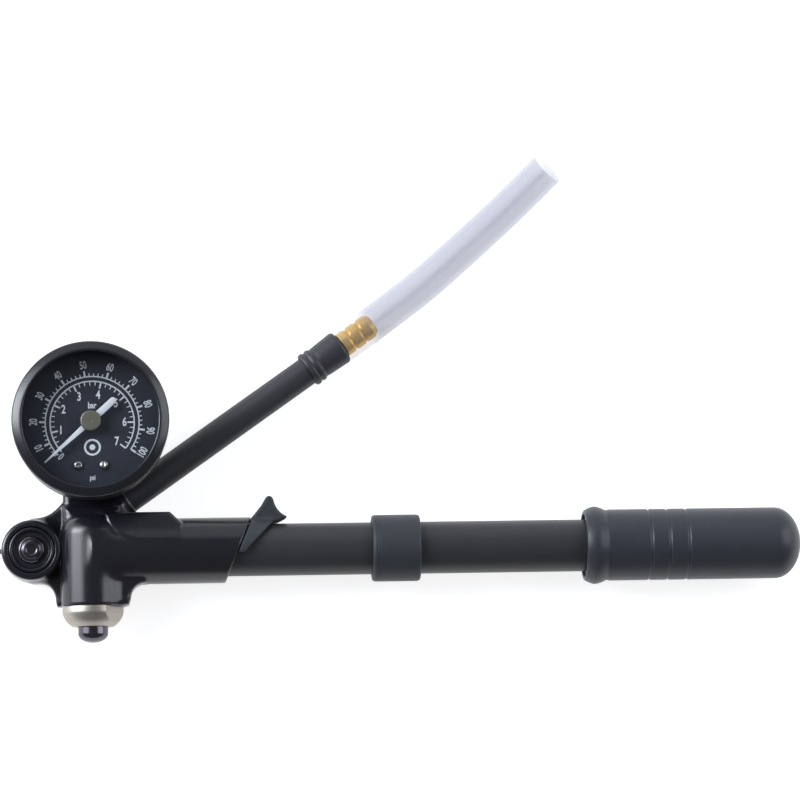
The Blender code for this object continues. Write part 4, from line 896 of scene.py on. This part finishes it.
def hose_line():
    """The black hose with the ribbed boot and the brass barb on its end."""
    along_boot = Matrix.Translation(boot_point(0)) @ Matrix.Rotation(BOOT_ANGLE, 4, "Z")
    along_boot = along_boot @ Matrix.Rotation(pi / 2, 4, "Y")
    rim = BOOT_RADIUS
    boot = turned(
        "hose_end_boot",
        [
            (4.75, 0), (rim - 0.45, 0, 0.3), (rim, 0.5, 0.35), (rim, 1.6, 0.35), (rim - 0.55, 2.1, 0.3),
            (rim - 0.1, 2.75, 0.35), (rim - 0.1, 3.6, 0.35), (rim - 0.65, 4.2, 0.4), (rim - 0.45, 5.4, 0.6),
            (rim - 0.1, BOOT_LENGTH - 0.7, 0.5), (rim - 0.6, BOOT_LENGTH, 0.4), (3.3, BOOT_LENGTH),
            (3.3, 7.9), (4.75, 7.9),
        ],
        along_boot, "rubber", replaced="hose_boot", segments=112,
    )
    barb_outline = [(0.9, 8.2), (3.0, 8.2), (3.0, BOOT_LENGTH + GAP)]
    for i in range(BARB_RINGS):
        low = BOOT_LENGTH + GAP + i * BARB_PITCH
        barb_outline += [(3.95, low, 0.25), (3.95, low + 2.7, 0.3)]
        barb_outline += [(3.4, low + 3.35, 0.2), (3.4, low + 3.6, 0.15)]
    end = BOOT_LENGTH + BARB_LENGTH
    barb_outline[-1] = (3.0, end, 0.3)
    barb_outline += [(0.9, end, 0.15)]
    barb = turned("brass_barb", barb_outline, along_boot, "brass", replaced="barb_fitting")

    route = [hose_point(HOSE_START), hose_point(12), hose_point(28), hose_point(46)]
    route += [boot_point(0), boot_point(7.6)]
    points = smooth_curve(route, 3)
    curve = bpy.data.curves.new("hose", "CURVE")
    curve.dimensions = "3D"
    curve.bevel_depth = HOSE_RADIUS * MM
    curve.bevel_resolution = 16
    curve.use_fill_caps = True
    spline = curve.splines.new("POLY")
    spline.points.add(len(points) - 1)
    for spot, point in zip(spline.points, points):
        spot.co = (*(point * MM), 1.0)
    spline.use_smooth = True
    hose = bpy.data.objects.new("air_hose", curve)
    bpy.context.scene.collection.objects.link(hose)
    dress(hose, "rubber")
    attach(hose, BODY)
    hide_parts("hose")


def clear_tube():
    """The hollow tube, slightly swollen where the barb's rings press into it, with a painted shade streak
    along the bottom of its bore.
    """
    route = [boot_point(BOOT_LENGTH + GAP), boot_point(BOOT_LENGTH + BARB_LENGTH)]
    route += [Vector((x, y, HOSE_HEIGHT)) for x, y in CLEAR_TUBE_BENDS]
    points = smooth_curve(route, TUBE_SPACING)
    sides = 64
    verts, faces = [], []
    total = length_of(points)
    travelled = 0.0
    stations = []
    for i, point in enumerate(points):
        along = (points[min(i + 1, len(points) - 1)] - points[max(i - 1, 0)]).normalized()
        if i:
            travelled += (point - points[i - 1]).length
        swell = 0.0
        for ring in range(BARB_RINGS):
            middle = ring * BARB_PITCH + 2.0
            swell += 0.22 * np.exp(-(((travelled - middle) / 0.9) ** 2))
        lip = min(travelled, total - travelled)
        pull = 0.28 * max(0.0, 1 - lip / 0.35) ** 2
        stations.append((point, along, TUBE_RADIUS + swell - pull, TUBE_BORE + pull))
    for bore in (False, True):
        for point, along, outer, inner in stations:
            radius = inner if bore else outer
            side = Vector((along.y, -along.x, 0))
            for k in range(sides):
                angle = 2 * pi * k / sides
                spot = point + side * (radius * cos(angle)) + Vector((0, 0, radius * sin(angle)))
                verts.append(spot * MM)
    rows = len(stations)
    for bore in (0, 1):
        base = bore * rows * sides
        for i in range(rows - 1):
            for k in range(sides):
                m = (k + 1) % sides
                a, b = base + i * sides + k, base + i * sides + m
                faces.append((a, b, b + sides, a + sides))
    for end in (0, rows - 1):
        for k in range(sides):
            m = (k + 1) % sides
            outer_row, inner_row = end * sides, (rows + end) * sides
            faces.append((outer_row + k, outer_row + m, inner_row + m, inner_row + k))
    mesh = bpy.data.meshes.new("clear_tube")
    mesh.from_pydata(verts, [], faces)
    outward(mesh)
    over_barb = round(BARB_LENGTH / TUBE_SPACING)
    milk_and_painted_streak = mesh.attributes.new("milk_and_painted_streak", "FLOAT", "POINT")
    for i, value in enumerate(milk_and_painted_streak.data):
        angle = 2 * pi * (i % sides) / sides
        # painted shade: a soft band along the bottom of the bore is made more opaque, drawing the dark
        # streak that shade and refraction make down the tube
        painted_streak = np.exp(-(((angle - 1.5 * pi) / 0.22) ** 2))
        strength = MILK_ON_BARB + (1 - MILK_ON_BARB) * min(1.0, ((i // sides) % rows / over_barb) ** 6)
        in_bore = i >= rows * sides
        value.value = strength * (BORE_MILK + PAINTED_STREAK_MILK * painted_streak if in_bore else OUTER_MILK)
    cloud_tube()
    tube = keep("transparent_tube", mesh, "clear_hose", replaced="clear_tube", flat=50)


# ---------------------------------------------------------------- what stays as the CAD has it


def dress_cad_nodes():
    """Inner pieces keep their CAD shapes and take the finish of their own slot."""
    slots = {row["node"]: row["material_slot"] for row in frame["record"]["subparts"]}
    for name, obj in frame["nodes"].items():
        if not obj.hide_render:
            dress(obj, slots[name])


# ---------------------------------------------------------------- light, floor and camera


def aim(obj, place, target, roll=0.0):
    """Points the object's -Z from place at target, turned by roll about its line of sight."""
    away = (Vector(place) - Vector(target)).normalized()
    side = Vector((0, 1, 0)).cross(away).normalized()
    upright = away.cross(side)
    turn = Matrix((side, upright, away)).transposed()
    obj.rotation_mode = "QUATERNION"
    obj.rotation_quaternion = (turn @ Matrix.Rotation(roll, 3, "Z")).to_quaternion()
    obj.location = place


def softbox(name, place, width, height, radiance):
    light = bpy.data.lights.new(name, "AREA")
    light.shape = "RECTANGLE"
    light.size = width
    light.size_y = height
    light.energy = radiance * pi * width * height
    light.color = COOL_WHITE
    obj = bpy.data.objects.new(name, light)
    bpy.context.scene.collection.objects.link(obj)
    aim(obj, place, LIT_SPOT)


def studio():
    """A pale glowing floor, a dim sky that is brighter near the horizon, and four soft lights."""
    floor_mesh = bpy.data.meshes.new("floor")
    half = FLOOR_HALF
    floor_mesh.from_pydata(
        [(-half, -half, 0), (half, -half, 0), (half, half, 0), (-half, half, 0)], [], [(0, 1, 2, 3)]
    )
    floor = bpy.data.objects.new("floor", floor_mesh)
    bpy.context.scene.collection.objects.link(floor)
    pale = bpy.data.materials.new("floor")
    pale.use_nodes = True
    shader = pale.node_tree.nodes["Principled BSDF"]
    shader.inputs["Base Color"].default_value = (0.5, 0.5, 0.5, 1)
    shader.inputs["Roughness"].default_value = 0.9
    shader.inputs["Emission Color"].default_value = (1, 1, 1, 1)
    shader.inputs["Emission Strength"].default_value = 0.80
    floor_mesh.materials.append(pale)

    world = bpy.data.worlds.new("studio")
    bpy.context.scene.world = world
    world.use_nodes = True
    nodes = world.node_tree.nodes
    links = world.node_tree.links
    place = nodes.new("ShaderNodeTexCoord")
    split = nodes.new("ShaderNodeSeparateXYZ")
    glow = nodes.new("ShaderNodeMapRange")
    glow.inputs["From Min"].default_value = 0.0
    glow.inputs["From Max"].default_value = 0.16
    glow.inputs["To Min"].default_value = 0.5
    glow.inputs["To Max"].default_value = 0.2
    links.new(place.outputs["Generated"], split.inputs["Vector"])
    links.new(split.outputs["Z"], glow.inputs["Value"])
    links.new(glow.outputs["Result"], nodes["Background"].inputs["Strength"])
    nodes["Background"].inputs["Color"].default_value = (0.94, 0.96, 1, 1)

    for name, spot, width, height, radiance in SOFTBOXES:
        softbox(name, spot, width, height, radiance)


def camera():
    """Looks almost straight down at the pump, as from a copy stand."""
    data = bpy.data.cameras.new("camera")
    data.sensor_width = 36
    data.lens = CAMERA_LENS
    obj = bpy.data.objects.new("camera", data)
    bpy.context.scene.collection.objects.link(obj)
    aim(obj, CAMERA_PLACE, CAMERA_TARGET, CAMERA_ROLL)
    data.clip_start = 0.05
    data.clip_end = 20
    bpy.context.scene.camera = obj


def main():
    scene = bpy.context.scene
    scene.view_settings.view_transform = "Standard"
    camera()
    studio()
    hose_line()
    clear_tube()
    head_casting()
    hook_saddle()
    lug_fittings()
    bleed_valve()
    barrel()
    handle()
    gauge_shell()
    dial_print()
    pointer()
    dress_cad_nodes()


main()
